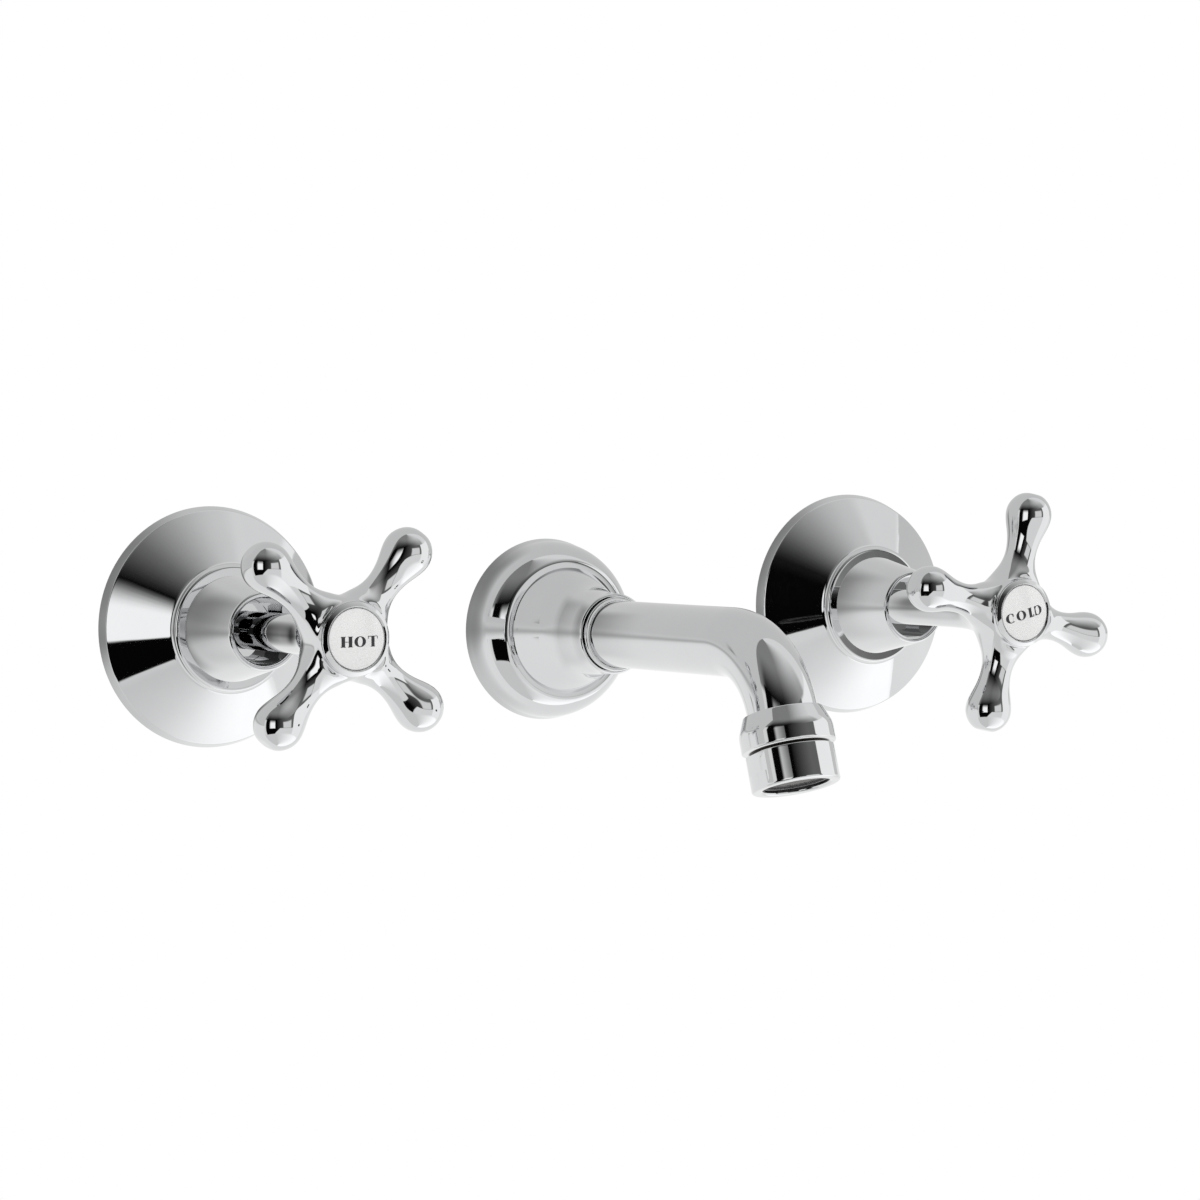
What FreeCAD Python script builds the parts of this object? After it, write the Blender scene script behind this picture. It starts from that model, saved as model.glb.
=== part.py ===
import FreeCAD, Part
import math
import os

# Three-hole wall mixer tap: two cross-handled washer valves and a bent spout on one concealed brass breech.
# Millimetres. The finished wall is the plane y = 0, the room lies on its -Y side and +Z is up.
# The origin is the centre of the spout's wall flange. Along every axis that leaves the wall, "depth" is the
# distance out of the wall into the room, so a negative depth is inside the wall.

Vector = FreeCAD.Vector

# Layout on the wall
valve_half_spacing = 108.5  # each spindle from the spout's axis, along the wall
valve_height = 4.2  # spindles above the spout's axis
wall_recess = 6.0  # mouths of the valve bodies and the tee behind the wall's face
handle_angles = {"hot": 49.0, "cold": 75.0}  # first arm above the horizontal, seen from the room, in degrees

# Clearances shared by all fits
thread_clearance = 0.05  # between a plain male thread and its female
running_clearance = 0.06  # between a turning piece and its bore
slip_clearance = 0.25  # between covers that slide over each other
overrun = 1.0  # how far every cutting tool runs past what it cuts

# Valve wall flange
flange_radius = 34.0
flange_band = 3.2  # height of the tapered edge band
flange_band_draw = 1.1  # how much the band draws in
flange_depth = 15.8  # wall to the front of the collar
flange_wall = 1.8
collar_radius = 17.7
collar_height = 1.9  # straight part of the collar
collar_land = 3.0  # length of the bore that the sleeve's spigot fills
collar_lip_round = 1.1
cone_root_round = 2.4
flange_edge_round = 0.7

# Tapered sleeve that hides the spindle and clamps the flange
sleeve_base_radius = 14.75
sleeve_front_radius = 10.85
sleeve_front = 36.0
sleeve_lip = 1.6  # width of the front rim
sleeve_lip_round = 0.7
sleeve_spigot_radius = 13.2
sleeve_spigot_length = 8.0

# Bonnet (headwork body)
bonnet_tail_radius = 10.4
bonnet_tail_length = 15.0
bonnet_hex_across_flats = 26.0
bonnet_hex_height = 7.5
bonnet_neck_radius = 11.2
bonnet_neck_length = 17.5
body_washer_thickness = 1.5
stuffing_box_radius = 6.6
stuffing_box_depth = 8.0
packing_thickness = 4.0
gland_head_height = 4.5
gland_head_across_flats = 14.5

# Spindle
stem_radius = 3.7
spindle_screw_radius = 6.0
spindle_screw_length = 13.0
spindle_screw_back = 3.5  # thread's end in front of the bonnet's back face
thread_lead = 3.0  # rise of the spindle in one turn
full_turn_count = 1.25  # turns from shut to fully open
jumper_socket_depth = 13.0

# Jumper valve and its washer
jumper_stem_radius = 2.9
jumper_stem_length = 11.0
jumper_head_radius = 7.0
jumper_head_thickness = 2.5
jumper_washer_radius = 6.8
jumper_washer_thickness = 3.0

# Cross handle
handle_gland_gap = 1.5  # from the gland nut to the neck's end, inside the sleeve
handle_neck_radius = 5.3
arm_depth = 82.8
boss_radius = 9.9
boss_back_rise = 5.8  # from the arms' axis back to where the skirt meets the boss
boss_front_rise = 6.8  # from the arms' axis to the front of the boss
hub_flare_length = 9.0
recess_depth = 6.6  # button's recess in the boss
spindle_socket_web = 4.0  # metal between the spindle's socket and the recess floor
arm_reach = 29.0  # centre of an arm's ball from the spindle's axis
arm_count = 4
ball_radius = 6.7
arm_neck_radius = 4.3
web_radius = 12.0  # concave curve that joins neighbouring arms

# Handle screw, button bezel and index button
screw_radius = 2.0
screw_length = 12.0
screw_head_radius = 3.6
screw_head_height = 2.0
screw_slot_width = 0.9
screw_slot_depth = 0.9
bezel_lip_radius = 9.75
bezel_lip_height = 1.3
bezel_wall = 0.95
bezel_floor = 1.2
button_radius = 8.05
button_crown = 0.9  # how far the button's dome stands above the bezel's lip
button_edge = 0.5  # button's straight edge above the lip

# In-wall valve body
body_radius = 15.0
chamber_radius = 9.3
chamber_length = 13.4
seat_height = 1.0
seat_land = 1.8
seat_orifice_radius = 5.0
seat_partition = 5.0
inlet_chamber_radius = 7.0
inlet_chamber_length = 14.5
body_back_wall = 6.0
inlet_boss_radius = 12.5
inlet_boss_length = 19.0
inlet_thread_radius = 10.48
inlet_thread_length = 15.0
inlet_bore_radius = 6.8
side_boss_radius = 10.5
side_boss_reach = 27.0
lug_half_length = 31.0
lug_half_height = 10.0
lug_thickness = 4.0
lug_hole_half_spacing = 24.0
lug_hole_radius = 2.6

# Copper cross tubes and the mixing tee
cross_tube_radius = 7.5
cross_tube_wall = 1.0
tube_socket_depth = 9.0
tee_radius = 14.0
tee_boss_reach = 25.0
tee_chamber_radius = 7.5
tee_back_wall = 5.0

# Spout nipple and its seal
nipple_tail_radius = 10.4
nipple_tail_length = 14.0
nipple_bore_radius = 6.5
nipple_shoulder_radius = 13.0
nipple_shoulder_height = 5.0
nipple_socket_radius = 12.0
nipple_socket_length = 10.0
spout_seal_thickness = 1.5

# Spout wall flange and neck ring
spout_flange_radius = 26.8
spout_flange_band = 2.5
spout_flange_band_draw = 0.7
spout_flange_wall = 1.8
spout_step_radius = 21.6
spout_step_depth = 13.6
spout_step_ledge = 1.8
spout_step_round = 3.2
spout_ring_crown = 0.6  # bulge of the ring between the edge band and the step
spout_bell_waist_radius = 13.0
spout_neck_radius = 11.6
spout_flange_depth = 40.5
spout_neck_length = 3.4
neck_ring_radius = 10.7
neck_ring_length = 4.7
neck_ring_proud = 1.6

# Spout tube
tube_radius = 9.55
tube_wall = 1.6
bend_start = 102.0  # depth where the straight run ends
bend_radius = 26.0
bend_angle = 72.0  # degrees that the spout turns down

# Outlet: end collar and aerator, measured along the outlet from the end of the bend
tube_seat_length = 4.6  # tube inside the end collar
collar_top_radius = 10.9
collar_shoulder = 4.8  # run of the rounded shoulder
collar_edge_round = 0.4
outlet_collar_radius = 12.8
outlet_collar_length = 9.6
outlet_spigot_radius = 10.4
outlet_spigot_length = 4.6
outlet_bore_radius = 7.9
housing_radius = 12.0
housing_gap = 1.0  # groove that shows between collar and housing
housing_length = 9.8
housing_lip_height = 1.5
housing_mouth_radius = 9.2
flat_depth = 0.9
flat_length_share = 0.55  # share of the housing's length that the spanner flats take
aerator_washer_thickness = 1.3
aerator_washer_bore = 7.2
insert_wall = 1.4
mesh_thickness = 0.6
mesh_recess = 0.5
mesh_hole_radius = 0.5
mesh_hole_pitch = 1.9
mesh_ring_count = 3

# Depths that follow from the sizes above, along a valve's axis
body_mouth = -wall_recess
hex_back = body_mouth + body_washer_thickness
hex_front = hex_back + bonnet_hex_height
bonnet_front = hex_front + bonnet_neck_length
bonnet_back = body_mouth - bonnet_tail_length
chamber_back = bonnet_back - chamber_length
seat_face = chamber_back + seat_height
jumper_washer_front = seat_face + jumper_washer_thickness
spindle_back = jumper_washer_front + jumper_head_thickness
spindle_lift = thread_lead * full_turn_count
spindle_screw_start = bonnet_back + spindle_screw_back
spindle_screw_front = spindle_screw_start + spindle_screw_length
bonnet_shoulder = spindle_screw_front + spindle_lift + overrun
packing_back = bonnet_front - stuffing_box_depth
gland_front = bonnet_front + gland_head_height
handle_back = gland_front + handle_gland_gap
hub_back = arm_depth - boss_back_rise
hub_front = arm_depth + boss_front_rise
recess_floor = hub_front - recess_depth
spindle_front = recess_floor - spindle_socket_web
inlet_chamber_front = chamber_back - seat_partition
inlet_chamber_back = inlet_chamber_front - inlet_chamber_length
inlet_depth = (inlet_chamber_front + inlet_chamber_back) / 2
body_back = inlet_chamber_back - body_back_wall
cross_tube_depth = (bonnet_back + chamber_back) / 2
cross_tube_bore = cross_tube_radius - cross_tube_wall

# Depths along the spout's axis and lengths along its outlet
nipple_shoulder_back = body_mouth + spout_seal_thickness
nipple_shoulder_front = nipple_shoulder_back + nipple_shoulder_height
nipple_front = nipple_shoulder_front + nipple_socket_length
nipple_back = body_mouth - nipple_tail_length
tee_chamber_back = cross_tube_depth - tee_chamber_radius
housing_top = outlet_collar_length + housing_gap
housing_end = housing_top + housing_length
housing_lip_top = housing_end - housing_lip_height
spigot_end = outlet_collar_length + outlet_spigot_length
insert_top = spigot_end + aerator_washer_thickness


def outline(corners):
    """Closed wire in the plane z = 0 from (radius, depth) or (radius, depth, rounding) corners."""
    points = [Vector(corner[0], -corner[1], 0) for corner in corners]
    rounds = [corner[2] if len(corner) > 2 else 0 for corner in corners]
    entries = []
    for here, point in enumerate(points):
        before = points[here - 1] - point
        after = points[(here + 1) % len(points)] - point
        if rounds[here] == 0:
            entries.append((point, None, point))
            continue
        half_turn = before.getAngle(after) / 2
        before_room = before.Length / (2 if rounds[here - 1] else 1)
        after_room = after.Length / (2 if rounds[(here + 1) % len(points)] else 1)
        setback = min(rounds[here] / math.tan(half_turn), before_room, after_room)
        radius = setback * math.tan(half_turn)
        before.normalize()
        after.normalize()
        centre_way = before + after
        centre_way.normalize()
        middle = point + centre_way * (radius / math.sin(half_turn) - radius)
        entries.append((point + before * setback, middle, point + after * setback))
    edges = []
    for here, (start, middle, end) in enumerate(entries):
        previous_end = entries[here - 1][2]
        if not previous_end.isEqual(start, Part.Precision.confusion()):
            edges.append(Part.LineSegment(previous_end, start).toShape())
        if middle is not None:
            edges.append(Part.Arc(start, middle, end).toShape())
    return Part.Wire(edges)


def turned(corners):
    """Solid turned about the Y axis from an outline of corners."""
    return Part.Face(outline(corners)).revolve(Vector(), Vector(0, 1, 0), 360)


def rod(radius, start, end):
    """Cylinder from one point to another."""
    way = end - start
    return Part.makeCylinder(radius, way.Length, start, way)


def hexagon(across_flats, back, front):
    """Six-sided prism on the Y axis between two depths."""
    corner_radius = across_flats / math.sqrt(3)
    steps = [math.radians(60 * side) for side in range(7)]
    ring = [Vector(corner_radius * math.cos(a), -back, corner_radius * math.sin(a)) for a in steps]
    return Part.Face(Part.makePolygon(ring)).extrude(Vector(0, back - front, 0))


def wall_flange():
    """Conical cover that sits on the wall, with a tapered edge band and a collar for the sleeve."""
    cone_radius = flange_radius - flange_band_draw
    cone_front = flange_depth - collar_height
    slope = math.atan2(cone_front - flange_band, cone_radius - collar_radius)
    inner_drop = flange_wall / math.cos(slope)
    inner_rim = flange_radius - flange_wall
    inner_collar = collar_radius - flange_wall
    bore = sleeve_spigot_radius + slip_clearance

    def inner_depth(radius):
        return flange_band + (cone_radius - radius) * math.tan(slope) - inner_drop

    return turned([
        (flange_radius, 0),
        (cone_radius, flange_band, flange_edge_round),
        (collar_radius, cone_front, cone_root_round),
        (collar_radius, flange_depth, collar_lip_round),
        (bore, flange_depth),
        (bore, flange_depth - collar_land),
        (inner_collar, flange_depth - collar_land),
        (inner_collar, min(inner_depth(inner_collar), flange_depth - collar_land - flange_wall)),
        (inner_rim, inner_depth(inner_rim)),
        (inner_rim, 0),
    ])


def sleeve():
    """Tapered sleeve, threaded on the bonnet, whose base clamps the flange to the wall."""
    mouth = sleeve_front_radius - sleeve_lip
    thread = bonnet_neck_radius + thread_clearance
    spigot_back = flange_depth - sleeve_spigot_length
    thread_front = bonnet_front + slip_clearance
    return turned([
        (sleeve_spigot_radius, spigot_back),
        (sleeve_spigot_radius, flange_depth),
        (sleeve_base_radius, flange_depth),
        (sleeve_front_radius, sleeve_front, sleeve_lip_round),
        (mouth, sleeve_front, sleeve_lip_round),
        (mouth, thread_front),
        (thread, thread_front),
        (thread, spigot_back),
    ])


def bonnet():
    """Headwork body: a threaded tail, a spanner hexagon and a threaded neck with a stuffing box."""
    stem_bore = stem_radius + running_clearance
    screw_bore = spindle_screw_radius + running_clearance
    barrel = turned([
        (bonnet_tail_radius, bonnet_back),
        (bonnet_tail_radius, hex_back),
        (bonnet_neck_radius, hex_back),
        (bonnet_neck_radius, bonnet_front),
        (stuffing_box_radius, bonnet_front),
        (stuffing_box_radius, packing_back),
        (stem_bore, packing_back),
        (stem_bore, bonnet_shoulder),
        (screw_bore, bonnet_shoulder),
        (screw_bore, bonnet_back),
    ])
    spanner_hex = hexagon(bonnet_hex_across_flats, hex_back, hex_front)
    core = rod(bonnet_neck_radius, Vector(0, -hex_back, 0), Vector(0, -hex_front, 0))
    return barrel.fuse(spanner_hex.cut(core)).removeSplitter()


def body_washer():
    """Fibre washer between the bonnet's hexagon and the mouth of the valve body."""
    bore = bonnet_tail_radius + slip_clearance
    outer = bonnet_hex_across_flats / 2
    return turned([(outer, body_mouth), (outer, hex_back), (bore, hex_back), (bore, body_mouth)])


def gland_packing():
    """Packing ring that seals the spindle in the stuffing box."""
    outer = stuffing_box_radius - running_clearance
    bore = stem_radius + running_clearance
    front = packing_back + packing_thickness
    return turned([(outer, packing_back), (outer, front), (bore, front), (bore, packing_back)])


def gland_nut():
    """Nut that presses the packing down, with a hexagon head."""
    spigot = stuffing_box_radius - thread_clearance
    bore = stem_radius + running_clearance
    packing_front = packing_back + packing_thickness
    tube = turned([
        (spigot, packing_front),
        (spigot, gland_front),
        (bore, gland_front),
        (bore, packing_front),
    ])
    head = hexagon(gland_head_across_flats, bonnet_front, gland_front)
    core = rod(spigot, Vector(0, -bonnet_front, 0), Vector(0, -gland_front, 0))
    return tube.fuse(head.cut(core)).removeSplitter()


def spindle():
    """Rising spindle: a screw in the bonnet, a plain stem through the gland and a tapped front end."""
    tapped = screw_radius + thread_clearance
    tapped_back = recess_floor - screw_length - overrun
    socket = jumper_stem_radius + running_clearance
    return turned([
        (socket, spindle_back),
        (spindle_screw_radius, spindle_back, stem_radius - jumper_stem_radius),
        (spindle_screw_radius, spindle_screw_front),
        (stem_radius, spindle_screw_front),
        (stem_radius, spindle_front),
        (tapped, spindle_front),
        (tapped, tapped_back),
        (0, tapped_back),
        (0, spindle_back + jumper_socket_depth),
        (socket, spindle_back + jumper_socket_depth),
    ])


def jumper_valve():
    """Loose valve: a stem that slides in the spindle and a head that carries the washer."""
    return turned([
        (0, jumper_washer_front),
        (jumper_head_radius, jumper_washer_front),
        (jumper_head_radius, spindle_back),
        (jumper_stem_radius, spindle_back),
        (jumper_stem_radius, spindle_back + jumper_stem_length),
        (0, spindle_back + jumper_stem_length),
    ])


def jumper_washer():
    """Rubber washer that shuts on the seat."""
    return turned([
        (0, seat_face),
        (jumper_washer_radius, seat_face),
        (jumper_washer_radius, jumper_washer_front),
        (0, jumper_washer_front),
    ])


def handle_arm():
    """One arm on the X axis: a flared root that meets its neighbours' roots, a slim neck and a ball."""
    half_gap = math.pi / arm_count
    flare = math.pi / 2 - half_gap
    root_radius = arm_neck_radius + web_radius * (1 - math.cos(flare))
    root_reach = root_radius / math.tan(half_gap)
    neck_reach = root_reach + web_radius * math.sin(flare)
    ball_run = arm_reach - neck_reach
    ball_arc = ball_run ** 2 + arm_neck_radius ** 2 - ball_radius ** 2
    ball_arc /= 2 * (ball_radius - arm_neck_radius)
    neck = Vector(neck_reach, arm_neck_radius, 0)

    def on_arc(radius, turn):
        return neck + Vector(radius * math.sin(turn), radius * (1 - math.cos(turn)), 0)

    def on_ball(turn):
        return Vector(arm_reach + ball_radius * math.cos(turn), ball_radius * math.sin(turn), 0)

    ball_turn = math.asin(ball_run / (ball_arc + ball_radius))
    join_turn = math.pi / 2 + ball_turn
    axis_start, root_top = Vector(), Vector(0, root_radius, 0)
    edges = [
        Part.LineSegment(axis_start, root_top).toShape(),
        Part.LineSegment(root_top, on_arc(web_radius, -flare)).toShape(),
        Part.Arc(on_arc(web_radius, -flare), on_arc(web_radius, -flare / 2), neck).toShape(),
        Part.Arc(neck, on_arc(ball_arc, ball_turn / 2), on_ball(join_turn)).toShape(),
        Part.Arc(on_ball(join_turn), on_ball(join_turn / 2), on_ball(0)).toShape(),
        Part.LineSegment(on_ball(0), axis_start).toShape(),
    ]
    arm = Part.Face(Part.Wire(edges)).revolve(Vector(), Vector(1, 0, 0), 360)
    arm.translate(Vector(0, -arm_depth, 0))
    return arm


def handle(first_angle):
    """Cross handle: a boss with a necked skirt and equal arms, bored for spindle, screw and bezel."""
    recess = bezel_lip_radius - bezel_wall + running_clearance
    shape = turned([
        (handle_neck_radius, handle_back),
        (handle_neck_radius, hub_back - hub_flare_length, hub_flare_length),
        (boss_radius, hub_back, hub_flare_length),
        (boss_radius, hub_front),
        (0, hub_front),
        (0, handle_back),
    ])
    for index in range(arm_count):
        arm = handle_arm()
        arm.rotate(Vector(), Vector(0, -1, 0), first_angle + 360 * index / arm_count)
        shape = shape.fuse(arm)
    socket = stem_radius + thread_clearance
    screw_hole = screw_radius + thread_clearance
    bores = turned([
        (0, handle_back - overrun),
        (socket, handle_back - overrun),
        (socket, spindle_front),
        (screw_hole, spindle_front),
        (screw_hole, recess_floor),
        (recess, recess_floor),
        (recess, hub_front),
        (boss_radius, hub_front),
        (boss_radius, hub_front + ball_radius),
        (0, hub_front + ball_radius),
    ])
    return shape.cut(bores).removeSplitter()


def handle_screw():
    """Slotted screw that holds the handle on the spindle."""
    head_front = recess_floor + screw_head_height
    body = turned([
        (0, recess_floor - screw_length),
        (screw_radius, recess_floor - screw_length),
        (screw_radius, recess_floor),
        (screw_head_radius, recess_floor),
        (screw_head_radius, head_front, screw_head_height / 3),
        (0, head_front),
    ])
    slot_length = 2 * (screw_head_radius + overrun)
    slot_corner = Vector(-slot_length / 2, -head_front - overrun, -screw_slot_width / 2)
    return body.cut(Part.makeBox(slot_length, screw_slot_depth + overrun, screw_slot_width, slot_corner))


def button_bezel():
    """Chrome cup that screws into the hub and holds the index button."""
    cup = bezel_lip_radius - bezel_wall
    pocket = button_radius + running_clearance
    cup_back = recess_floor + screw_head_height + running_clearance
    floor_front = cup_back + bezel_floor
    lip_front = hub_front + bezel_lip_height
    return turned([
        (0, cup_back),
        (cup, cup_back),
        (cup, hub_front),
        (bezel_lip_radius, hub_front),
        (bezel_lip_radius, lip_front, bezel_lip_height / 2),
        (pocket, lip_front, (bezel_lip_radius - pocket) / 4),
        (pocket, floor_front),
        (0, floor_front),
    ])


def index_button():
    """White ceramic button with a low dome."""
    back = recess_floor + screw_head_height + running_clearance + bezel_floor
    edge = hub_front + bezel_lip_height + button_edge - button_crown
    dome = (button_radius ** 2 + button_crown ** 2) / (2 * button_crown)
    crown = edge + button_crown
    half = math.asin(button_radius / dome) / 2
    middle = Vector(dome * math.sin(half), -(crown - dome * (1 - math.cos(half))), 0)
    corners = [Vector(0, -crown, 0), Vector(0, -back, 0), Vector(button_radius, -back, 0)]
    rim = Vector(button_radius, -edge, 0)
    edges = [Part.LineSegment(a, b).toShape() for a, b in zip(corners, corners[1:] + [rim])]
    edges.append(Part.Arc(rim, middle, corners[0]).toShape())
    return Part.Face(Part.Wire(edges)).revolve(Vector(), Vector(0, 1, 0), 360)


def valve_body():
    """In-wall brass body: bonnet thread, seat, inlet below, outlet to the -X side and fixing lugs behind."""
    tail_bore = bonnet_tail_radius + thread_clearance
    shape = turned([(0, body_back), (body_radius, body_back), (body_radius, body_mouth), (0, body_mouth)])
    inlet_axis = Vector(0, -inlet_depth, 0)
    outlet_axis = Vector(0, -cross_tube_depth, 0)
    down, side = Vector(0, 0, -1), Vector(-1, 0, 0)
    inlet_shoulder = inlet_axis + down * inlet_boss_length
    inlet_end = inlet_shoulder + down * inlet_thread_length
    outlet_end = outlet_axis + side * side_boss_reach
    shape = shape.fuse([
        rod(inlet_boss_radius, inlet_axis, inlet_shoulder),
        rod(inlet_thread_radius, inlet_axis, inlet_end),
        rod(side_boss_radius, outlet_axis, outlet_end),
        fixing_lugs(),
    ])
    waterway = turned([
        (0, inlet_chamber_back),
        (inlet_chamber_radius, inlet_chamber_back),
        (inlet_chamber_radius, inlet_chamber_front),
        (seat_orifice_radius, inlet_chamber_front),
        (seat_orifice_radius, seat_face),
        (seat_orifice_radius + seat_land, seat_face),
        (seat_orifice_radius + seat_land, chamber_back),
        (chamber_radius, chamber_back),
        (chamber_radius, bonnet_back),
        (tail_bore, bonnet_back),
        (tail_bore, body_mouth + overrun),
        (0, body_mouth + overrun),
    ])
    outlet_start = outlet_axis + side * (seat_orifice_radius + seat_land)
    socket_start = outlet_end - side * tube_socket_depth
    shape = shape.cut([
        waterway,
        rod(inlet_bore_radius, inlet_axis, inlet_end + down * overrun),
        rod(cross_tube_bore, outlet_start, outlet_end),
        rod(cross_tube_radius + thread_clearance, socket_start, outlet_end + side * overrun),
    ])
    return shape.removeSplitter()


def fixing_lugs():
    """Flat ears at the back of a valve body, each with a screw hole."""
    run = 2 * (lug_half_length - lug_half_height)
    front = body_back + lug_thickness
    corner = Vector(-run / 2, -front, -lug_half_height)
    plate = Part.makeBox(run, lug_thickness, 2 * lug_half_height, corner)
    for way in (-1, 1):
        end = Vector(way * run / 2, -front, 0)
        plate = plate.fuse(rod(lug_half_height, end, end + Vector(0, lug_thickness, 0)))
    for way in (-1, 1):
        start = Vector(way * lug_hole_half_spacing, -front - overrun, 0)
        plate = plate.cut(rod(lug_hole_radius, start, start + Vector(0, lug_thickness + 2 * overrun, 0)))
    return plate


def cross_tube(side):
    """Copper tube from a valve body to the tee, at its place on the wall."""
    tee_end = Vector(side * (tee_boss_reach - tube_socket_depth), -cross_tube_depth, valve_height)
    body_reach = valve_half_spacing - side_boss_reach + tube_socket_depth
    body_end = Vector(side * body_reach, -cross_tube_depth, valve_height)
    way = (body_end - tee_end).normalize()
    bore = rod(cross_tube_bore, tee_end - way * overrun, body_end + way * overrun)
    return rod(cross_tube_radius, tee_end, body_end).cut(bore)


def mixing_tee():
    """In-wall tee where hot and cold meet, with a female thread for the spout's nipple."""
    back = tee_chamber_back - tee_back_wall
    thread = nipple_tail_radius + thread_clearance
    shape = turned([(0, back), (tee_radius, back), (tee_radius, body_mouth), (0, body_mouth)])
    left, right = (Vector(way * tee_boss_reach, -cross_tube_depth, valve_height) for way in (-1, 1))
    along = Vector(1, 0, 0)
    shape = shape.fuse(rod(side_boss_radius, left, right))
    shape = shape.cut(turned([
        (0, tee_chamber_back),
        (tee_chamber_radius, tee_chamber_back),
        (tee_chamber_radius, nipple_back),
        (thread, nipple_back),
        (thread, body_mouth + overrun),
        (0, body_mouth + overrun),
    ]))
    shape = shape.cut(rod(cross_tube_bore, left, right))
    socket = cross_tube_radius + thread_clearance
    for end, way in ((left, 1), (right, -1)):
        mouth = end - along * (way * overrun)
        shape = shape.cut(rod(socket, mouth, end + along * (way * tube_socket_depth)))
    return shape.removeSplitter()


def spout_nipple():
    """Brass connector, screwed into the tee, whose socket holds the spout's tube."""
    socket = tube_radius + thread_clearance
    return turned([
        (nipple_tail_radius, nipple_back),
        (nipple_tail_radius, nipple_shoulder_back),
        (nipple_shoulder_radius, nipple_shoulder_back),
        (nipple_shoulder_radius, nipple_shoulder_front),
        (nipple_socket_radius, nipple_shoulder_front),
        (nipple_socket_radius, nipple_front),
        (socket, nipple_front),
        (socket, nipple_shoulder_front),
        (nipple_bore_radius, nipple_shoulder_front),
        (nipple_bore_radius, nipple_back),
    ])


def spout_seal():
    """Fibre washer between the nipple's shoulder and the tee's mouth."""
    bore = nipple_tail_radius + slip_clearance
    outer = nipple_shoulder_radius
    return turned([
        (outer, body_mouth),
        (outer, nipple_shoulder_back),
        (bore, nipple_shoulder_back),
        (bore, body_mouth),
    ])


def spout_flange():
    """Moulded cover at the spout's root: an edge band, a crowned ring, a step, a bell and a neck."""
    ring_radius = spout_flange_radius - spout_flange_band_draw
    ring_run = ring_radius - spout_step_radius
    ring_rise = spout_step_depth - spout_flange_band
    ring_length = math.hypot(ring_run, ring_rise)
    crown_radius = (ring_radius + spout_step_radius) / 2 + 2 * spout_ring_crown * ring_rise / ring_length
    crown_depth = (spout_flange_band + spout_step_depth) / 2 + 2 * spout_ring_crown * ring_run / ring_length
    ring_round = ring_length ** 2 / (8 * spout_ring_crown)
    bell_radius = spout_step_radius - spout_step_ledge
    inner_rim = ring_radius - spout_flange_wall
    inner_step = spout_step_radius - spout_flange_wall
    inner_neck = neck_ring_radius + slip_clearance
    inner_front = spout_flange_depth - neck_ring_length + neck_ring_proud
    tube_bore = tube_radius + slip_clearance
    neck_back = spout_flange_depth - spout_neck_length
    bell_run = neck_back - spout_step_depth
    waist_depth = spout_step_depth + bell_run / 2
    return turned([
        (spout_flange_radius, 0),
        (ring_radius, spout_flange_band, flange_edge_round),
        (crown_radius, crown_depth, ring_round),
        (spout_step_radius, spout_step_depth, spout_step_round),
        (bell_radius, spout_step_depth),
        (spout_bell_waist_radius, waist_depth, bell_run),
        (spout_neck_radius, neck_back, bell_run),
        (spout_neck_radius, spout_flange_depth, flange_edge_round),
        (inner_neck, spout_flange_depth),
        (inner_neck, inner_front),
        (tube_bore, inner_front),
        (tube_bore, waist_depth - spout_flange_wall),
        (inner_step, spout_step_depth - spout_flange_wall),
        (inner_rim, spout_flange_band),
        (inner_rim, 0),
    ])


def spout_neck_ring():
    """Ring that centres the tube in the flange's neck and shows as a thin bead."""
    bore = tube_radius + thread_clearance
    front = spout_flange_depth + neck_ring_proud
    back = front - neck_ring_length
    return turned([
        (neck_ring_radius, back),
        (neck_ring_radius, front, (neck_ring_radius - bore) / 3),
        (bore, front),
        (bore, back),
    ])


def bent_rod(radius, start_depth, end_run):
    """Round bar along the spout's centreline, from a depth on the straight to a run past the bend."""
    straight = rod(radius, Vector(0, -start_depth, 0), Vector(0, -bend_start, 0))
    section = Part.Face(Part.Wire(Part.makeCircle(radius, Vector(0, -bend_start, 0), Vector(0, 1, 0))))
    bend = section.revolve(Vector(0, -bend_start, -bend_radius), Vector(1, 0, 0), bend_angle)
    end = at_outlet(rod(radius, Vector(), Vector(0, -end_run, 0)))
    return straight.fuse([bend, end]).removeSplitter()


def at_outlet(shape):
    """Moves a piece built along the depth axis to the outlet, where its depth 0 is the end of the bend."""
    shape.translate(Vector(0, -bend_start, 0))
    shape.rotate(Vector(0, -bend_start, -bend_radius), Vector(1, 0, 0), bend_angle)
    return shape


def spout_tube():
    """Bent tube from the nipple's socket to the end collar."""
    outer = bent_rod(tube_radius, nipple_shoulder_front, tube_seat_length)
    bore = bent_rod(tube_radius - tube_wall, nipple_shoulder_front - overrun, tube_seat_length + overrun)
    return outer.cut(bore)


def spout_end_collar():
    """Round-shouldered collar brazed on the tube's end, with a threaded spigot for the aerator."""
    socket = tube_radius + thread_clearance
    return at_outlet(turned([
        (socket, 0),
        (collar_top_radius, 0, collar_edge_round),
        (outlet_collar_radius, collar_shoulder, collar_shoulder),
        (outlet_collar_radius, outlet_collar_length, collar_edge_round),
        (outlet_spigot_radius, outlet_collar_length),
        (outlet_spigot_radius, spigot_end),
        (outlet_bore_radius, spigot_end),
        (outlet_bore_radius, tube_seat_length),
        (socket, tube_seat_length),
    ]))


def aerator_washer():
    """Rubber washer between the collar's spigot and the aerator insert."""
    outer = outlet_spigot_radius - slip_clearance
    return at_outlet(turned([
        (outer, spigot_end),
        (outer, insert_top),
        (aerator_washer_bore, insert_top),
        (aerator_washer_bore, spigot_end),
    ]))


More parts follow.
